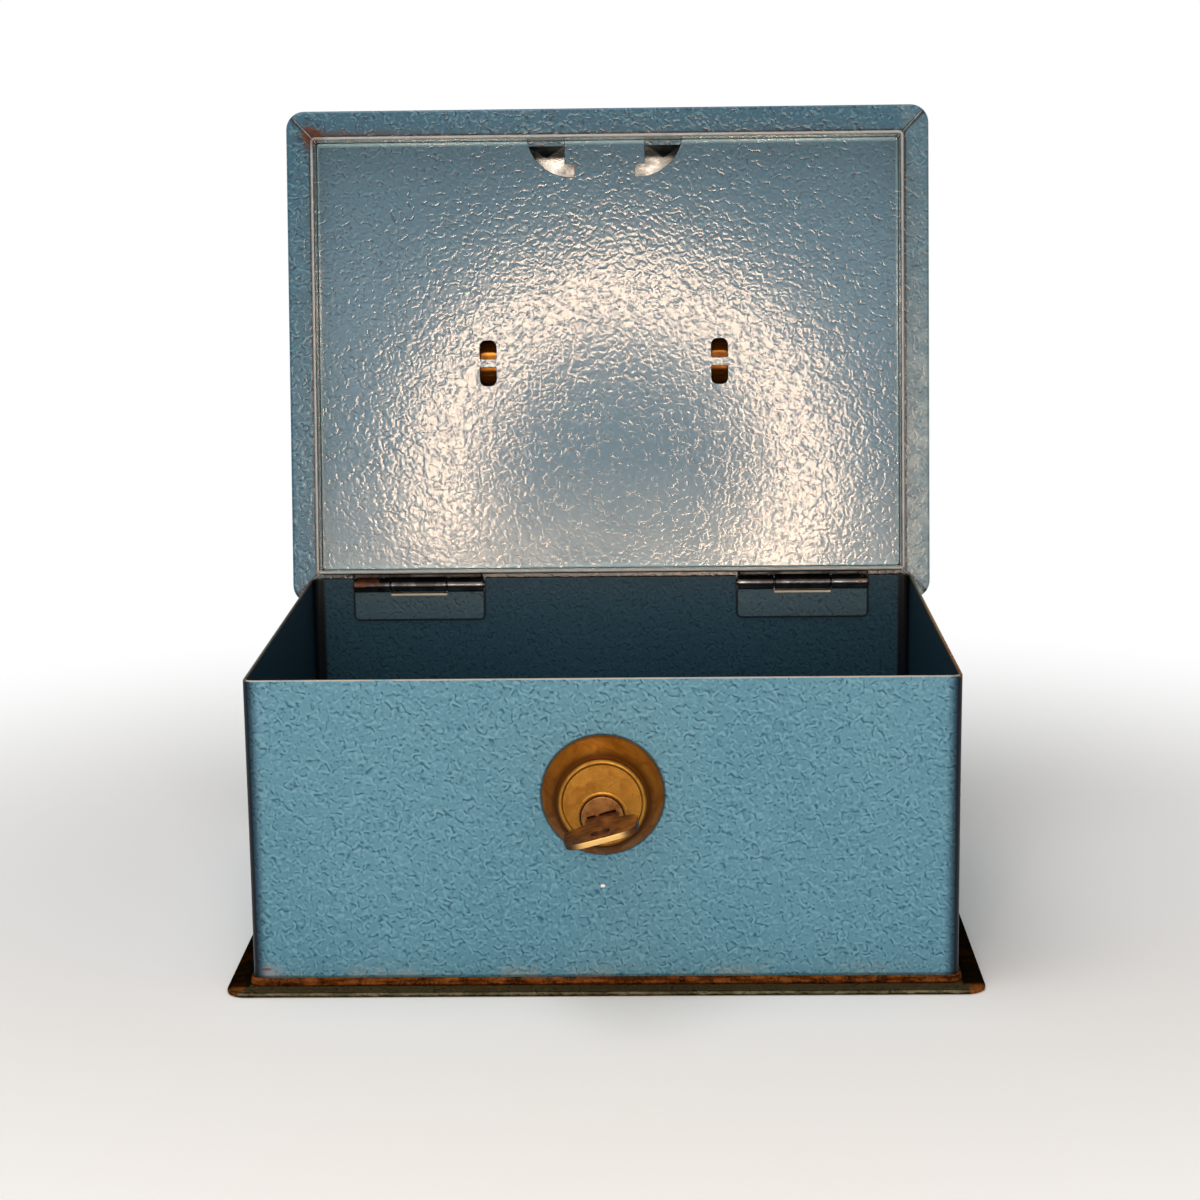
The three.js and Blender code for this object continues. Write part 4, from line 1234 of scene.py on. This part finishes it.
# %% Liner outline
claw_centre, claw_ahead, claw_radius = 11.0, 3.2, 14.8
claw_inner, claw_toe, toe_depth, claws_off = 13.3, 10.0, 7.3, -0.7
liner_gap, claw_line = 0.06, lid_middle - lip_depth / 2 + lip_thick
liner_front = lip_middle - lip_outer_depth / 2 + lip_thick + liner_gap


def claw(side):
    """Straight side, toe, then an arc about a point ahead of the sheet's front edge."""
    front = liner_front - claw_line
    start = math.atan2(math.sqrt(claw_radius ** 2 - 1), claw_toe - claw_centre)
    finish = math.asin((claw_ahead + front) / claw_radius)
    turn = np.linspace(start, finish, 26)
    arc = claw_radius * np.stack([np.cos(turn), np.sin(turn)], axis=1) + [claw_centre, -claw_ahead]
    straight = np.array([(claw_inner, front), (claw_inner, toe_depth), (claw_toe, toe_depth)])
    shape = np.concatenate([straight, arc])
    if side < 0:
        shape = shape[::-1] * np.array([-1, 1])
    return shape + np.array([claws_off, claw_line])


def liner_outline():
    half_w = lip_outer_width / 2 - lip_thick - liner_gap
    half_d = lip_outer_depth / 2 - lip_thick - liner_gap
    sheet = rounded_rectangle(2 * half_w, 2 * half_d, 1.0, 5) + np.array([0, lip_middle])
    last = len(sheet) // 4 * 3
    return np.concatenate([sheet[:last], claw(-1), claw(1), sheet[last:]])


slot_pitch, handle_off, handle_y = 77.0, -1.6, lid_middle + 2.2


def slot_holes(side):
    """Two openings with a bridge of sheet between them: square at the bridge, round outside."""
    x, w, near, far = handle_off + side * slot_pitch / 2, 2.7, 1.4, 7.5
    holes = []
    for end in (-1, 1):
        corners = [(x - w, handle_y + end * near), (x + w, handle_y + end * near),
                   (x + w, handle_y + end * far), (x - w, handle_y + end * far)]
        radii = [0.5, 0.5, 2.4, 2.4]
        loop = softened(corners, radii, 7)
        holes.append(loop if end < 0 else loop[::-1])
    return holes


loops = [liner_outline()] + slot_holes(-1) + slot_holes(1)
print("liner:", len(loops) - 1, "holes and", len(loops[0]), "points round its edge")


# %% [markdown]
# The liner is greyer and glossier than the outside, so it shows the lamps as a broken ring. Its
# hammertone is a little larger too, and a pale band round its rim is a painted highlight.

# %% Liner piece
def liner_rim_highlight(where):
    """Painted highlight: a pale band just inside the lip."""
    x, along, up = lid_axes(where)
    ends = larger(ramp(along, 145.0, 146.3), fall(along, 5.4, 7.4, 0.6))
    return covered(larger(ramp(positive(x), 95.0, 96.2, 0.0, 0.75), ends), rgb(142, 176, 184))


def cut_edge_shade(where):
    """Painted shade: the cut edges round windows and slots are dark."""
    x, along, up = lid_axes(where)
    inside = times(fall(positive(x), 93.0, 93.5), ramp(along, 7.0, 7.5))
    return darker(times(ramp(up, hem_under + 0.01, hem_under + 0.08), inside), 0.10, 0.11, 0.12)


def liner_dust_and_sheen(where):
    """Dust and painted sheen: a pale film that thins out upwards from the hinge side."""
    x, along, up = lid_axes(where)
    cloud = ramp(noise(where, 90.0, detail=3.0), 0.35, 0.65, 0.7, 1.0)
    return covered(times(fall(along, 10.0, 46.0, 0.34), cloud), rgb(200, 200, 194))


liner_paint = painted("liner_enamel", rgb(54, 97, 118), rgb(16, 50, 70), rgb(82, 126, 146), None,
                      (liner_dust_and_sheen, liner_rim_highlight, cut_edge_shade), gloss=0.11, flake=0.0, depth=0.00005, lines=1.0,
                      lips=0.45, scale=460.0, swell=0.8, dents=0.3, shine=0.62)
liner_thick = 0.9
liner = moved(plate(loops, liner_thick, 0.22), z=hem_under)
piece("lid_liner_sheet", [on_lid(liner)], "lid", liner_paint, "lid_liner")

# %% [markdown]
# ## Saddles, handle and rivets
#
# Each saddle is a strap pressed down into a half-round cup that shows amber through the slots.
# Its section is a bent strip, worked out as a middle line with half the thickness on each
# side, and its width is the plate's thickness. Two ears carry the rod.

# %% Amber lacquer
amber = bare_metal("amber_lacquer", rgb(176, 108, 34), rgb(120, 62, 16), 0.85, 0.16, 0.00001)
saddle_width, saddle_thick, saddle_length, cup_radius = 9.0, 0.8, 30.0, 8.4
rod_radius, ear_radius = 2.5, 4.6
strap_under = crown_top + 0.15
cup_z = hem_under + liner_thick + 1.2 + cup_radius
handle_z = crown_top + 0.6 + rod_radius


def strip(line, thick):
    """The closed outline of a bent strip: its middle line moved half the thickness each way."""
    step = np.gradient(line, axis=0)
    step /= np.linalg.norm(step, axis=1, keepdims=True)
    left = np.stack([-step[:, 1], step[:, 0]], axis=1) * thick / 2
    return np.concatenate([line - left, (line + left)[::-1]])


def saddle_parts(x):
    """Strap with its cup, two cup ends, and two ears with a hole for the rod."""
    middle, radius = strap_under + saddle_thick / 2, cup_radius - saddle_thick / 2
    turn = np.linspace(np.pi, 2 * np.pi, 41)
    cup = np.stack([radius * np.cos(turn), cup_z + radius * np.sin(turn)], axis=1)
    bend = np.linspace(0, np.pi / 2, 6)
    lead = 0.9
    fold = np.stack([-radius - lead + lead * np.sin(bend), middle - lead + lead * np.cos(bend)], axis=1)
    start = np.array([[-saddle_length / 2, middle]])
    line = np.concatenate([start, fold, cup, fold[::-1] * [-1, 1], start * [-1, 1]])
    parts = [along_x(plate([tidy(strip(line, saddle_thick))], saddle_width, 0.2), x, saddle_width)]
    half = np.linspace(np.pi, 2 * np.pi, 30)
    rim = cup_radius - saddle_thick - 0.05
    disc = np.stack([rim * np.cos(half), cup_z + rim * np.sin(half)], axis=1)
    disc = np.concatenate([disc, [[rim, strap_under + 0.3], [-rim, strap_under + 0.3]]])
    ear_arc = np.linspace(0, np.pi, 26)
    ear = np.stack([ear_radius * np.cos(ear_arc), handle_z + ear_radius * np.sin(ear_arc)], axis=1)
    ear = np.concatenate([ear, [[-ear_radius, strap_under + 0.4], [ear_radius, strap_under + 0.4]]])
    for end in (-1, 1):
        at = x + end * (saddle_width - saddle_thick) / 2
        parts.append(along_x(plate([disc], saddle_thick - 0.05, 0.1), at - end * 0.05, saddle_thick - 0.05))
        hole = circle(rod_radius + 0.3, 40, 0, handle_z, clockwise=True)
        parts.append(along_x(plate([ear, hole], saddle_thick - 0.1, 0.15), at, saddle_thick - 0.1))
    return [on_lid(moved(part, y=handle_y)) for part in parts]


for side, word in ((-1, "left"), (1, "right")):
    x = handle_off + side * slot_pitch / 2
    piece(f"{word}_saddle_pressing", saddle_parts(x), "lid", amber, f"{word}_handle_saddle")


# %% [markdown]
# Four rivets hold the saddles. A sphere for each head would do, but one turned profile gives the
# flat tail, the shank and the domed head together.

# %% Rivets
shank_radius, tail_radius, head_radius, tail_thick = 1.5, 2.3, 2.9, 0.9


def rivet(x, y):
    """A turned profile: flat tail, shank and a domed head."""
    head, tail = crown_top + 1.1, crown_top - 0.9 - 0.15
    dome = np.linspace(0, np.pi / 2, 9)
    end = tail - tail_thick
    profile = [(0, end), (tail_radius - 0.2, end), (tail_radius, end + 0.2), (tail_radius, tail)]
    profile += [(shank_radius, tail), (shank_radius, head), (head_radius - 0.15, head)]
    profile += [(head_radius * math.cos(t), head + 0.1 + math.sin(t)) for t in dome[:-1]]
    profile += [(0, head + 1.1)]
    return on_lid(moved(swapped(turned(profile, 36), (0, 2, 1)), x, y))


for side, word in ((-1, "left"), (1, "right")):
    for end, place in ((-1, "front"), (1, "rear")):
        x, y = handle_off + side * slot_pitch / 2, handle_y + end * (saddle_length / 2 - 3.6)
        name = f"{word}_saddle_{place}_rivet"
        piece(f"{word}_{place}_rivet", [rivet(x, y)], "lid", plated, name)

# %% [markdown]
# The handle is a 5 mm rod bent at four corners. A bevelled curve would make it in one step, but
# its ends would be flat discs. Here circles are carried along the bent line, and shrink over
# the last half diameter, so both ends are round.

# %% Handle
def rod(corners, bends, radius, sides=28):
    """Circles square to a flat path: centre plus radius times (cos t across, sin t in depth)."""
    line = softened(corners, bends, 14, closed=False)
    dense = [line[0] + (line[1] - line[0]) * s for s in (0.0, 0.02, 0.06, 0.12, 0.2, 0.3)]
    close = [line[-1] + (line[-2] - line[-1]) * s for s in (0.3, 0.2, 0.12, 0.06, 0.02, 0.0)]
    line = np.concatenate([dense, line[1:-1], close])
    run = np.concatenate([[0], np.cumsum(np.linalg.norm(np.diff(line, axis=0), axis=1))])
    from_end = np.minimum(run, run[-1] - run)
    shrink = np.sqrt(np.clip(1 - (1 - np.clip(from_end / radius, 0, 1)) ** 2, 0, 1))
    step = np.gradient(line, axis=0)
    step /= np.linalg.norm(step, axis=1, keepdims=True)
    across = np.stack([-step[:, 1], step[:, 0]], axis=1)
    turn = np.arange(sides) / sides * 2 * np.pi
    rings = np.empty((len(line), sides, 3))
    spread = radius * shrink[:, None] * np.cos(turn)[None]
    rings[:, :, 0] = line[:, :1] + across[:, :1] * spread
    rings[:, :, 2] = line[:, 1:] + across[:, 1:] * spread
    rings[:, :, 1] = radius * shrink[:, None] * np.sin(turn)[None]
    return rings.reshape(-1, 3), skin(rings)


arm, inner_end, reach = 46.7, 32.0, 34.0
path = [(-inner_end, 0), (-arm, 0), (-arm, -reach), (arm, -reach), (arm, 0), (inner_end, 0)]
pivot = on_lid((np.array([[handle_off, handle_y, handle_z]]), []))[0][0]
bail = moved(rod(path, [0, 4, 9, 9, 4, 0], rod_radius), *pivot)
piece("handle_rod", [bail], "handle", plated, "handle_bail")
print("handle pivot at", pivot.round(2), "mm")

# %% [markdown]
# ## Lid leaves of the hinges
#
# The lid's own leaf leaves the middle knuckle over its top and turns down behind the lip. It is
# a flat plate and a short bent tongue, both hidden behind the lip while the lid stands open,
# and seen from behind and when it is half shut.

# %% Lid leaves
leaf_high, leaf_middle, leaf_face, leaf_thick, tongue_thick = 6.9, -1.05, -3.75, 1.0, 0.96
for side, word in ((-1, "left"), (1, "right")):
    x = side * hinge_offset
    flat = rounded_rectangle(hinge_length, leaf_high, 0.8, 4) + np.array([x, leaf_middle])
    back = on_lid(along_y(plate([flat], leaf_thick, 0.15), leaf_face))
    root, over = leaf_face + leaf_thick / 2, knuckle_radius - 0.5
    line = softened([(root, 0.6), (root, over), (0.2, over)], [0, 1.2, 0], 6, closed=False)
    bent = plate([tidy(strip(line, tongue_thick))], middle_knuckle, 0.12)
    tongue = on_lid(along_x(bent, x, middle_knuckle))
    barrel = on_lid(knuckle(x, middle_knuckle, (0.0, 0.0, 0.0)))
    parts = [back, tongue, barrel]
    piece(f"{word}_hinge_leaf_on_lid", parts, "lid", dark_steel, f"{word}_hinge_lid_leaf")

# %% [markdown]
# ## Lock
#
# A spun brass cone stands in front of the wall, and the lock case sits in it with a raised rim.
# Turned parts are one profile each. The case and the plug are not quite turned work, because
# the plug's bore is off centre, so they are plates with a round hole.

# %% Brass finishes
def tarnish_and_shade(name, bright, dull, deep, rough):
    """Brass that has darkened in clouds, with painted shade in the hollow next to the case."""
    material, nodes, shader, where = start_material(name, 0.45, rough)
    shader.inputs["Specular IOR Level"].default_value = 0.05
    x, y, z = axes(where)
    cloud = noise(where, 190.0, detail=5.0, rough=0.58, distortion=0.8)
    tone = blend(ramp(cloud, 0.34, 0.68), dull, bright)
    hollow = fall(distance(x, minus(z, lock_z)), 13.0, 15.0)
    nodes.links.new(ramp(cloud, 0.3, 0.7, rough * 1.25, rough * 0.8), shader.inputs["Roughness"])
    relief = plus(cloud, times(noise(where, 900.0, detail=4.0), 0.35))
    finished(shader, blend(hollow, tone, deep), relief, 0.00005)
    return material


cone_brass = tarnish_and_shade("cone_brass", rgb(148, 88, 18), rgb(118, 64, 6), rgb(72, 36, 0), 0.46)
case_brass = bare_metal("case_brass", rgb(150, 106, 40), rgb(122, 80, 25), 0.9, 0.36, 0.00010,
                        patch_scale=260.0)
plug_brass = bare_metal("plug_brass", rgb(140, 98, 56), rgb(98, 62, 28), 0.85, 0.36, 0.00008,
                        patch_scale=300.0)


def key_finish():
    """A stamped key: dark brown sides, and bright cut edges, told apart by the depth in the sheet."""
    material = bare_metal("key_metal", rgb(88, 52, 22), rgb(58, 32, 12), 0.8, 0.4, 0.00005, patch_scale=240.0)
    nodes = material.node_tree
    shader = next(node for node in nodes.nodes if node.type == "BSDF_PRINCIPLED")
    sides = shader.inputs["Base Color"].links[0].from_socket
    x, y, z = axes(add(nodes, "ShaderNodeTexCoord").outputs["Object"])
    dz = minus(z, plug_z)
    depth = minus(times(x, math.cos(plug_turn)), times(dz, math.sin(plug_turn)))
    across = plus(times(x, math.sin(plug_turn)), times(dz, math.cos(plug_turn)))
    edge = fall(positive(depth), 0.72, 0.82)
    varied = times(edge, fall(y, -107.8, -107.0), ramp(positive(across), 5.0, 7.8, 1.0, 0.15))
    nodes.links.new(blend(varied, sides, rgb(200, 166, 106)), shader.inputs["Base Color"])
    return material


print("brass finishes:", cone_brass.name, case_brass.name, plug_brass.name)

# %% Rosette and case
front, plug_radius = -wall_y, 6.0
seat, face = front - 7.8, front - 9.0
case_end = front + wall_thick + 6.2

cone = softened([(11.25, front + 0.02), (11.25, seat), (13.0, seat), (16.9, front - 1.25),
                 (cone_radius, front + 0.02)], [0.05, 0.2, 0.45, 0.5, 0.1], 5)
rosette = moved(turned(cone, 96, wrap=True), z=lock_z)
piece("lock_rosette_cone", [rosette], "root", cone_brass, "lock_rosette")

bore = circle(plug_radius + 0.18, 64, 0, -plug_drop, clockwise=True)
head = along_y(plate([circle(12.3, 96), bore], seat - face, 0.16), face)
barrel = along_y(plate([circle(11.0, 72), bore], case_end - seat - 0.05, 0.2), seat + 0.05)
rim = softened([(10.8, face + 0.1), (11.15, face - 0.45), (12.0, face - 0.45), (12.28, face + 0.1)],
               [0.1, 0.35, 0.35, 0.1], 5)
boss = softened([(6.3, face + 0.1), (6.45, face - 0.14), (7.1, face - 0.14), (7.5, face + 0.1)],
                [0.02, 0.15, 0.2, 0.05], 4)
parts = [head, barrel, turned(rim, 96, wrap=True), moved(turned(boss, 72, wrap=True), z=-plug_drop)]
piece("lock_case", [moved(part, z=lock_z) for part in parts], "root", case_brass, "lock_barrel")

# %% [markdown]
# Behind the wall a washer and a six-sided nut hold the case. The nut is a plate again, with its
# edges rounded more than those of sheet, as a machined nut is chamfered.

# %% Washer and nut
inside = front + wall_thick
washer = along_y(plate([circle(15.0, 72), circle(11.3, 64, clockwise=True)], 0.78, 0.15), inside + 0.01)
piece("lock_washer_ring", [moved(washer, z=lock_z)], "root", plated, "lock_washer")
corners = circle(15.6, 6)
hexagon = softened(np.stack([corners[:, 1], corners[:, 0]], axis=1)[::-1], 1.0, 4)
nut = along_y(plate([hexagon, circle(11.12, 64, clockwise=True)], 2.78, 0.4, 4), inside + 0.81)
piece("lock_ring_nut", [moved(nut, z=lock_z)], "root", case_brass, "lock_nut")

# %% [markdown]
# ## Plug, cam and key
#
# These turn together. They are drawn with the keyway upright and then turned 75 degrees about
# the plug, as in the photograph's unlocked state. The keyway has a ward, a small step on one
# side, which gives it the bent outline of a real one.

# %% From the plug's frame to the shared frame
def on_plug(part):
    """A turn about Y at the plug's axis."""
    x, y, z = part[0].T
    turned_x = x * math.cos(plug_turn) + z * math.sin(plug_turn)
    turned_z = -x * math.sin(plug_turn) + z * math.cos(plug_turn) + plug_z
    return np.stack([turned_x, y, turned_z], axis=1), part[1]


plug_end = case_end + 0.3
cam_y, cam_thick = plug_end + 0.2, 2.0
slot_half, slot_high, ward_low, ward_high = 1.05, 4.0, -1.9, -0.5
ward_tip, keyway_deep = -slot_half + 0.45, 13.9
corners = [(-slot_half, -slot_high), (-slot_half, ward_low), (ward_tip, ward_low + 0.1),
           (ward_tip, ward_high - 0.1), (-slot_half, ward_high), (-slot_half, slot_high),
           (slot_half, slot_high), (slot_half, -slot_high)]
keyway = softened(corners, [0.15, 0.1, 0.1, 0.1, 0.1, 0.15, 0.15, 0.15], 3)
front_part = along_y(plate([circle(plug_radius - 0.02, 64), keyway], keyway_deep, 0.3), face)
back_length = plug_end - face - keyway_deep - 0.02
back_part = along_y(plate([circle(plug_radius - 0.1, 64)], back_length, 0.2), face + keyway_deep + 0.01)
corners = [(-2.8, -2.8), (2.8, -2.8), (2.8, 2.8), (-2.8, 2.8)]
square = along_y(plate([softened(corners, 0.3, 3)], 2.3, 0.15), plug_end - 0.05)
stud = along_y(plate([circle(2.3, 36)], 4.1, 0.4), cam_y + cam_thick - 0.1)
plug_parts = [on_plug(part) for part in (front_part, back_part, square, stud)]
piece("lock_plug_core", plug_parts, "lock_core", plug_brass, "lock_plug")

# %% [markdown]
# The hook cam sits on the plug's square tail. Its blade is an arc about the plug's own axis, so it
# slides through the lid's window without touching it. Hub, arm and blade are three plates that
# run into each other.

# %% Hook cam and its nut
blade_inner, blade_outer, hub_radius = 40.94, 44.04, 7.0
blade_start, blade_end, arm_lean = 64, 3, 57
arm_start, arm_end, arm_half = 6.2, 41.5, 4.5


def cam_parts():
    """Hub, arm and a curved blade about the plug's axis, each a plate; angles are degrees off upright."""
    turn = np.linspace(math.radians(90 - blade_start), math.radians(90 - blade_end), 40)
    outer_arc = np.stack([blade_outer * np.cos(turn), blade_outer * np.sin(turn)], axis=1)
    inner_arc = np.stack([blade_inner * np.cos(turn), blade_inner * np.sin(turn)], axis=1)[::-1]
    blade = np.concatenate([outer_arc, inner_arc])
    hole = softened([(-2.95, -2.95), (-2.95, 2.95), (2.95, 2.95), (2.95, -2.95)], 0.3, 3)
    hub = circle(hub_radius, 48)
    angle = math.radians(90 - arm_lean)
    run = np.array([math.cos(angle), math.sin(angle)])
    start, end, across = run * arm_start, run * arm_end, np.array([-run[1], run[0]]) * arm_half
    arm_shape = np.array([start - across, end - across, end + across, start + across])
    return [along_y(plate([blade], cam_thick, 0.2), cam_y),
            moved(along_y(plate([arm_shape], cam_thick - 0.08, 0.2), cam_y), y=0.04),
            along_y(plate([hub, hole], cam_thick, 0.2), cam_y)]


hook_parts = [on_plug(part) for part in cam_parts()]
piece("lock_hook_cam", hook_parts, "lock_core", plated, "lock_cam")
small = softened(circle(4.6, 6), 0.4, 3)
cam_nut = along_y(plate([small, circle(2.42, 32, clockwise=True)], 2.58, 0.3), cam_y + cam_thick + 0.11)
piece("cam_nut_hexagon", [on_plug(cam_nut)], "lock_core", plated, "cam_nut")

# %% [markdown]
# The key is stamped from sheet, so it is one outline: a round bow with a hanging hole, a neck
# against the lock's face, and a blade with four cuts. Its flat sides are drawn in Y and Z.

# %% Key
shoulder, tip, blade_half = face - 0.4, face + 13.4, 3.8
neck_end, neck_half = shoulder - 6.0, 4.7
bow_half, bow_long, key_thick = 10.4, 16.8, 1.7


def key_outline():
    """Once round the key, anticlockwise: blade underside, tip, cuts, neck, bow, neck."""
    cuts, cut_radii = [], []
    for index, share in reversed(list(enumerate([0.3, 0.75, 0.45, 0.6]))):
        middle, deep = face + 2.2 + index * 2.6, 2.6 * share
        slope = min(deep / 2, 0.9)
        cuts += [(middle + 0.4 + slope, blade_half), (middle + 0.4, blade_half - deep),
                 (middle - 0.4, blade_half - deep), (middle - 0.4 - slope, blade_half)]
        cut_radii += [0.0, 0.15, 0.15, 0.0]
    blade = [(shoulder, -blade_half), (tip - 1.8, -blade_half), (tip, 0), (tip - 1.8, blade_half)] + cuts
    radii = [0.2, 0.3, 0.3, 0.1] + cut_radii
    neck = [(shoulder, blade_half), (shoulder, neck_half), (neck_end, neck_half)]
    bow_end = neck_end - bow_long
    bow = [(neck_end, bow_half), (bow_end, bow_half), (bow_end, -bow_half), (neck_end, -bow_half)]
    back = [(neck_end, -neck_half), (shoulder, -neck_half)]
    radii += [0.1, 0.3, 0.25] + [5.3, 7.0, 7.0, 5.3] + [0.25, 0.3]
    return softened(blade + neck + bow + back, radii, 9)


hanging_hole = circle(2.7, 40, neck_end - 10.9, 0, clockwise=True)
key_plate = plate([key_outline(), hanging_hole], key_thick, 0.22)
piece("flat_key", [on_plug(along_x(key_plate, 0.0, key_thick))], "key", key_finish(), "key")

# %% [markdown]
# ## Floor, light and camera
#
# The box stands on a plain pale floor. Far off, the floor fades into the white of the world, so
# no horizon shows. The world is white to the camera and to mirrors only. A ring of small soft
# lamps stands round the lens, as on a ring light, and the glossy lid shows it as a cream ring.
# A low soft box in front lights the walls but not the inside, as in the photograph.

# %% Floor and world
half_floor, below = 30.0, -0.0001
floor_corners = [(x * half_floor, y * half_floor, below) for x, y in ((-1, -1), (1, -1), (1, 1), (-1, 1))]
floor_mesh = bpy.data.meshes.new("floor")
floor_mesh.from_pydata(floor_corners, [], [(0, 1, 2, 3)])
ground = bpy.data.objects.new("floor", floor_mesh)
bpy.context.scene.collection.objects.link(ground)
material, nodes, shader, where = start_material("pale_floor", 0.0, 0.8)
shader.inputs["Base Color"].default_value = rgb(248, 247, 245)
shader.inputs["Specular IOR Level"].default_value = 0.1
far = ramp(vectors("LENGTH", where)["Value"], 0.15, 0.45)
white = add(nodes, "ShaderNodeEmission", {"Color": (1, 1, 1, 1), "Strength": 1.0})
seen = times(far, add(nodes, "ShaderNodeLightPath").outputs["Is Camera Ray"])
mixed = add(nodes, "ShaderNodeMixShader", {0: seen, 1: shader.outputs[0], 2: white.outputs[0]})
end = next(node for node in nodes.nodes if node.type == "OUTPUT_MATERIAL")
nodes.links.new(mixed.outputs[0], end.inputs[0])
floor_mesh.materials.append(material)

world = bpy.data.worlds.new("studio")
bpy.context.scene.world = world
world.use_nodes = True
world.node_tree.nodes.clear()
nodes = world.node_tree
rays = add(nodes, "ShaderNodeLightPath").outputs
seen = larger(rays["Is Camera Ray"], larger(rays["Is Glossy Ray"], rays["Is Transmission Ray"]))
level = ramp(seen, 0.0, 1.0, 0.25, 1.0, smooth=False)
sky = add(nodes, "ShaderNodeBackground", {"Color": (1, 1, 1, 1), "Strength": level})
end = add(nodes, "ShaderNodeOutputWorld")
nodes.links.new(sky.outputs[0], end.inputs[0])

# %% Camera
sensor_width, picture_side, focal_pixels = 36.0, 1200, 2642.56
eye = np.array([16.147, -789.37, 252.375])
pitch, yaw, roll = math.radians(11.142), math.radians(-1.306), math.radians(-0.727)
ahead = np.array([math.sin(yaw) * math.cos(pitch), math.cos(yaw) * math.cos(pitch), -math.sin(pitch)])
level_right = np.array([math.cos(yaw), -math.sin(yaw), 0.0])
level_up = np.cross(level_right, ahead)
right = level_right * math.cos(roll) + level_up * math.sin(roll)
upward = -level_right * math.sin(roll) + level_up * math.cos(roll)
camera = bpy.data.objects.new("camera", bpy.data.cameras.new("camera"))
bpy.context.scene.collection.objects.link(camera)
camera.data.sensor_width = sensor_width
camera.data.lens = focal_pixels / picture_side * sensor_width
camera.data.clip_end = 100.0
rows = np.stack([right, upward, -ahead], axis=1).tolist()
camera.matrix_world = Matrix([[*row, at] for row, at in zip(rows, (eye * MM).tolist())] + [[0, 0, 0, 1]])
bpy.context.scene.camera = camera


# %% Lamps
def soft_lamp(name, place, aim, size, power, colour, tall=None):
    """An area lamp at a place, pointed at a place, both in metres."""
    lamp = bpy.data.lights.new(name, "AREA")
    lamp.energy, lamp.color, lamp.size = power, colour, size
    if tall:
        lamp.shape, lamp.size_y = "RECTANGLE", tall
    holder = bpy.data.objects.new(name, lamp)
    bpy.context.scene.collection.objects.link(holder)
    back = np.array(place, float) - np.array(aim, float)
    back /= np.linalg.norm(back)
    side = np.cross([0, 0, 1], back)
    side /= np.linalg.norm(side)
    above = np.cross(back, side)
    rows = np.stack([side, above, back], axis=1).tolist()
    holder.matrix_world = Matrix([[*row, at] for row, at in zip(rows, place)] + [[0, 0, 0, 1]])
    holder.visible_camera = False


cream, warm_haze = (1.0, 0.71, 0.49), (1.0, 0.70, 0.44)
cool_white, soft_white = (0.74, 0.91, 1.0), (0.96, 0.98, 1.0)
ring_middle = eye + right * -24.0 + upward * -13.0
ring_radius, ring_lamps, ring_aim = 123.0, 24, ahead * 900
for number in range(ring_lamps):
    turn = number / ring_lamps * 2 * math.pi
    place = ring_middle + ring_radius * (right * math.cos(turn) + upward * math.sin(turn))
    aim = place + ring_aim
    soft_lamp(f"ring_lamp_{number:02d}", (place * MM).tolist(), (aim * MM).tolist(), 0.028, 0.108, cream)
aim = ring_middle + ring_aim
soft_lamp("haze_disc", (ring_middle * MM).tolist(), (aim * MM).tolist(), 0.42, 0.3, warm_haze)
box_middle = (0.0, 0.0, 0.1)
soft_lamp("low_soft_box", (0.1, -1.3, 0.25), box_middle, 1.8, 3.6, cool_white, tall=0.5)
soft_lamp("top_soft_box", (-0.3, -0.3, 1.5), box_middle, 1.2, 12.0, soft_white)
bpy.context.scene.view_settings.view_transform = "Standard"

# %% [markdown]
# ## Count of pieces
#
# The script ends by printing how many pieces it made.

# %% Pieces made
print("pieces made:", len(made))
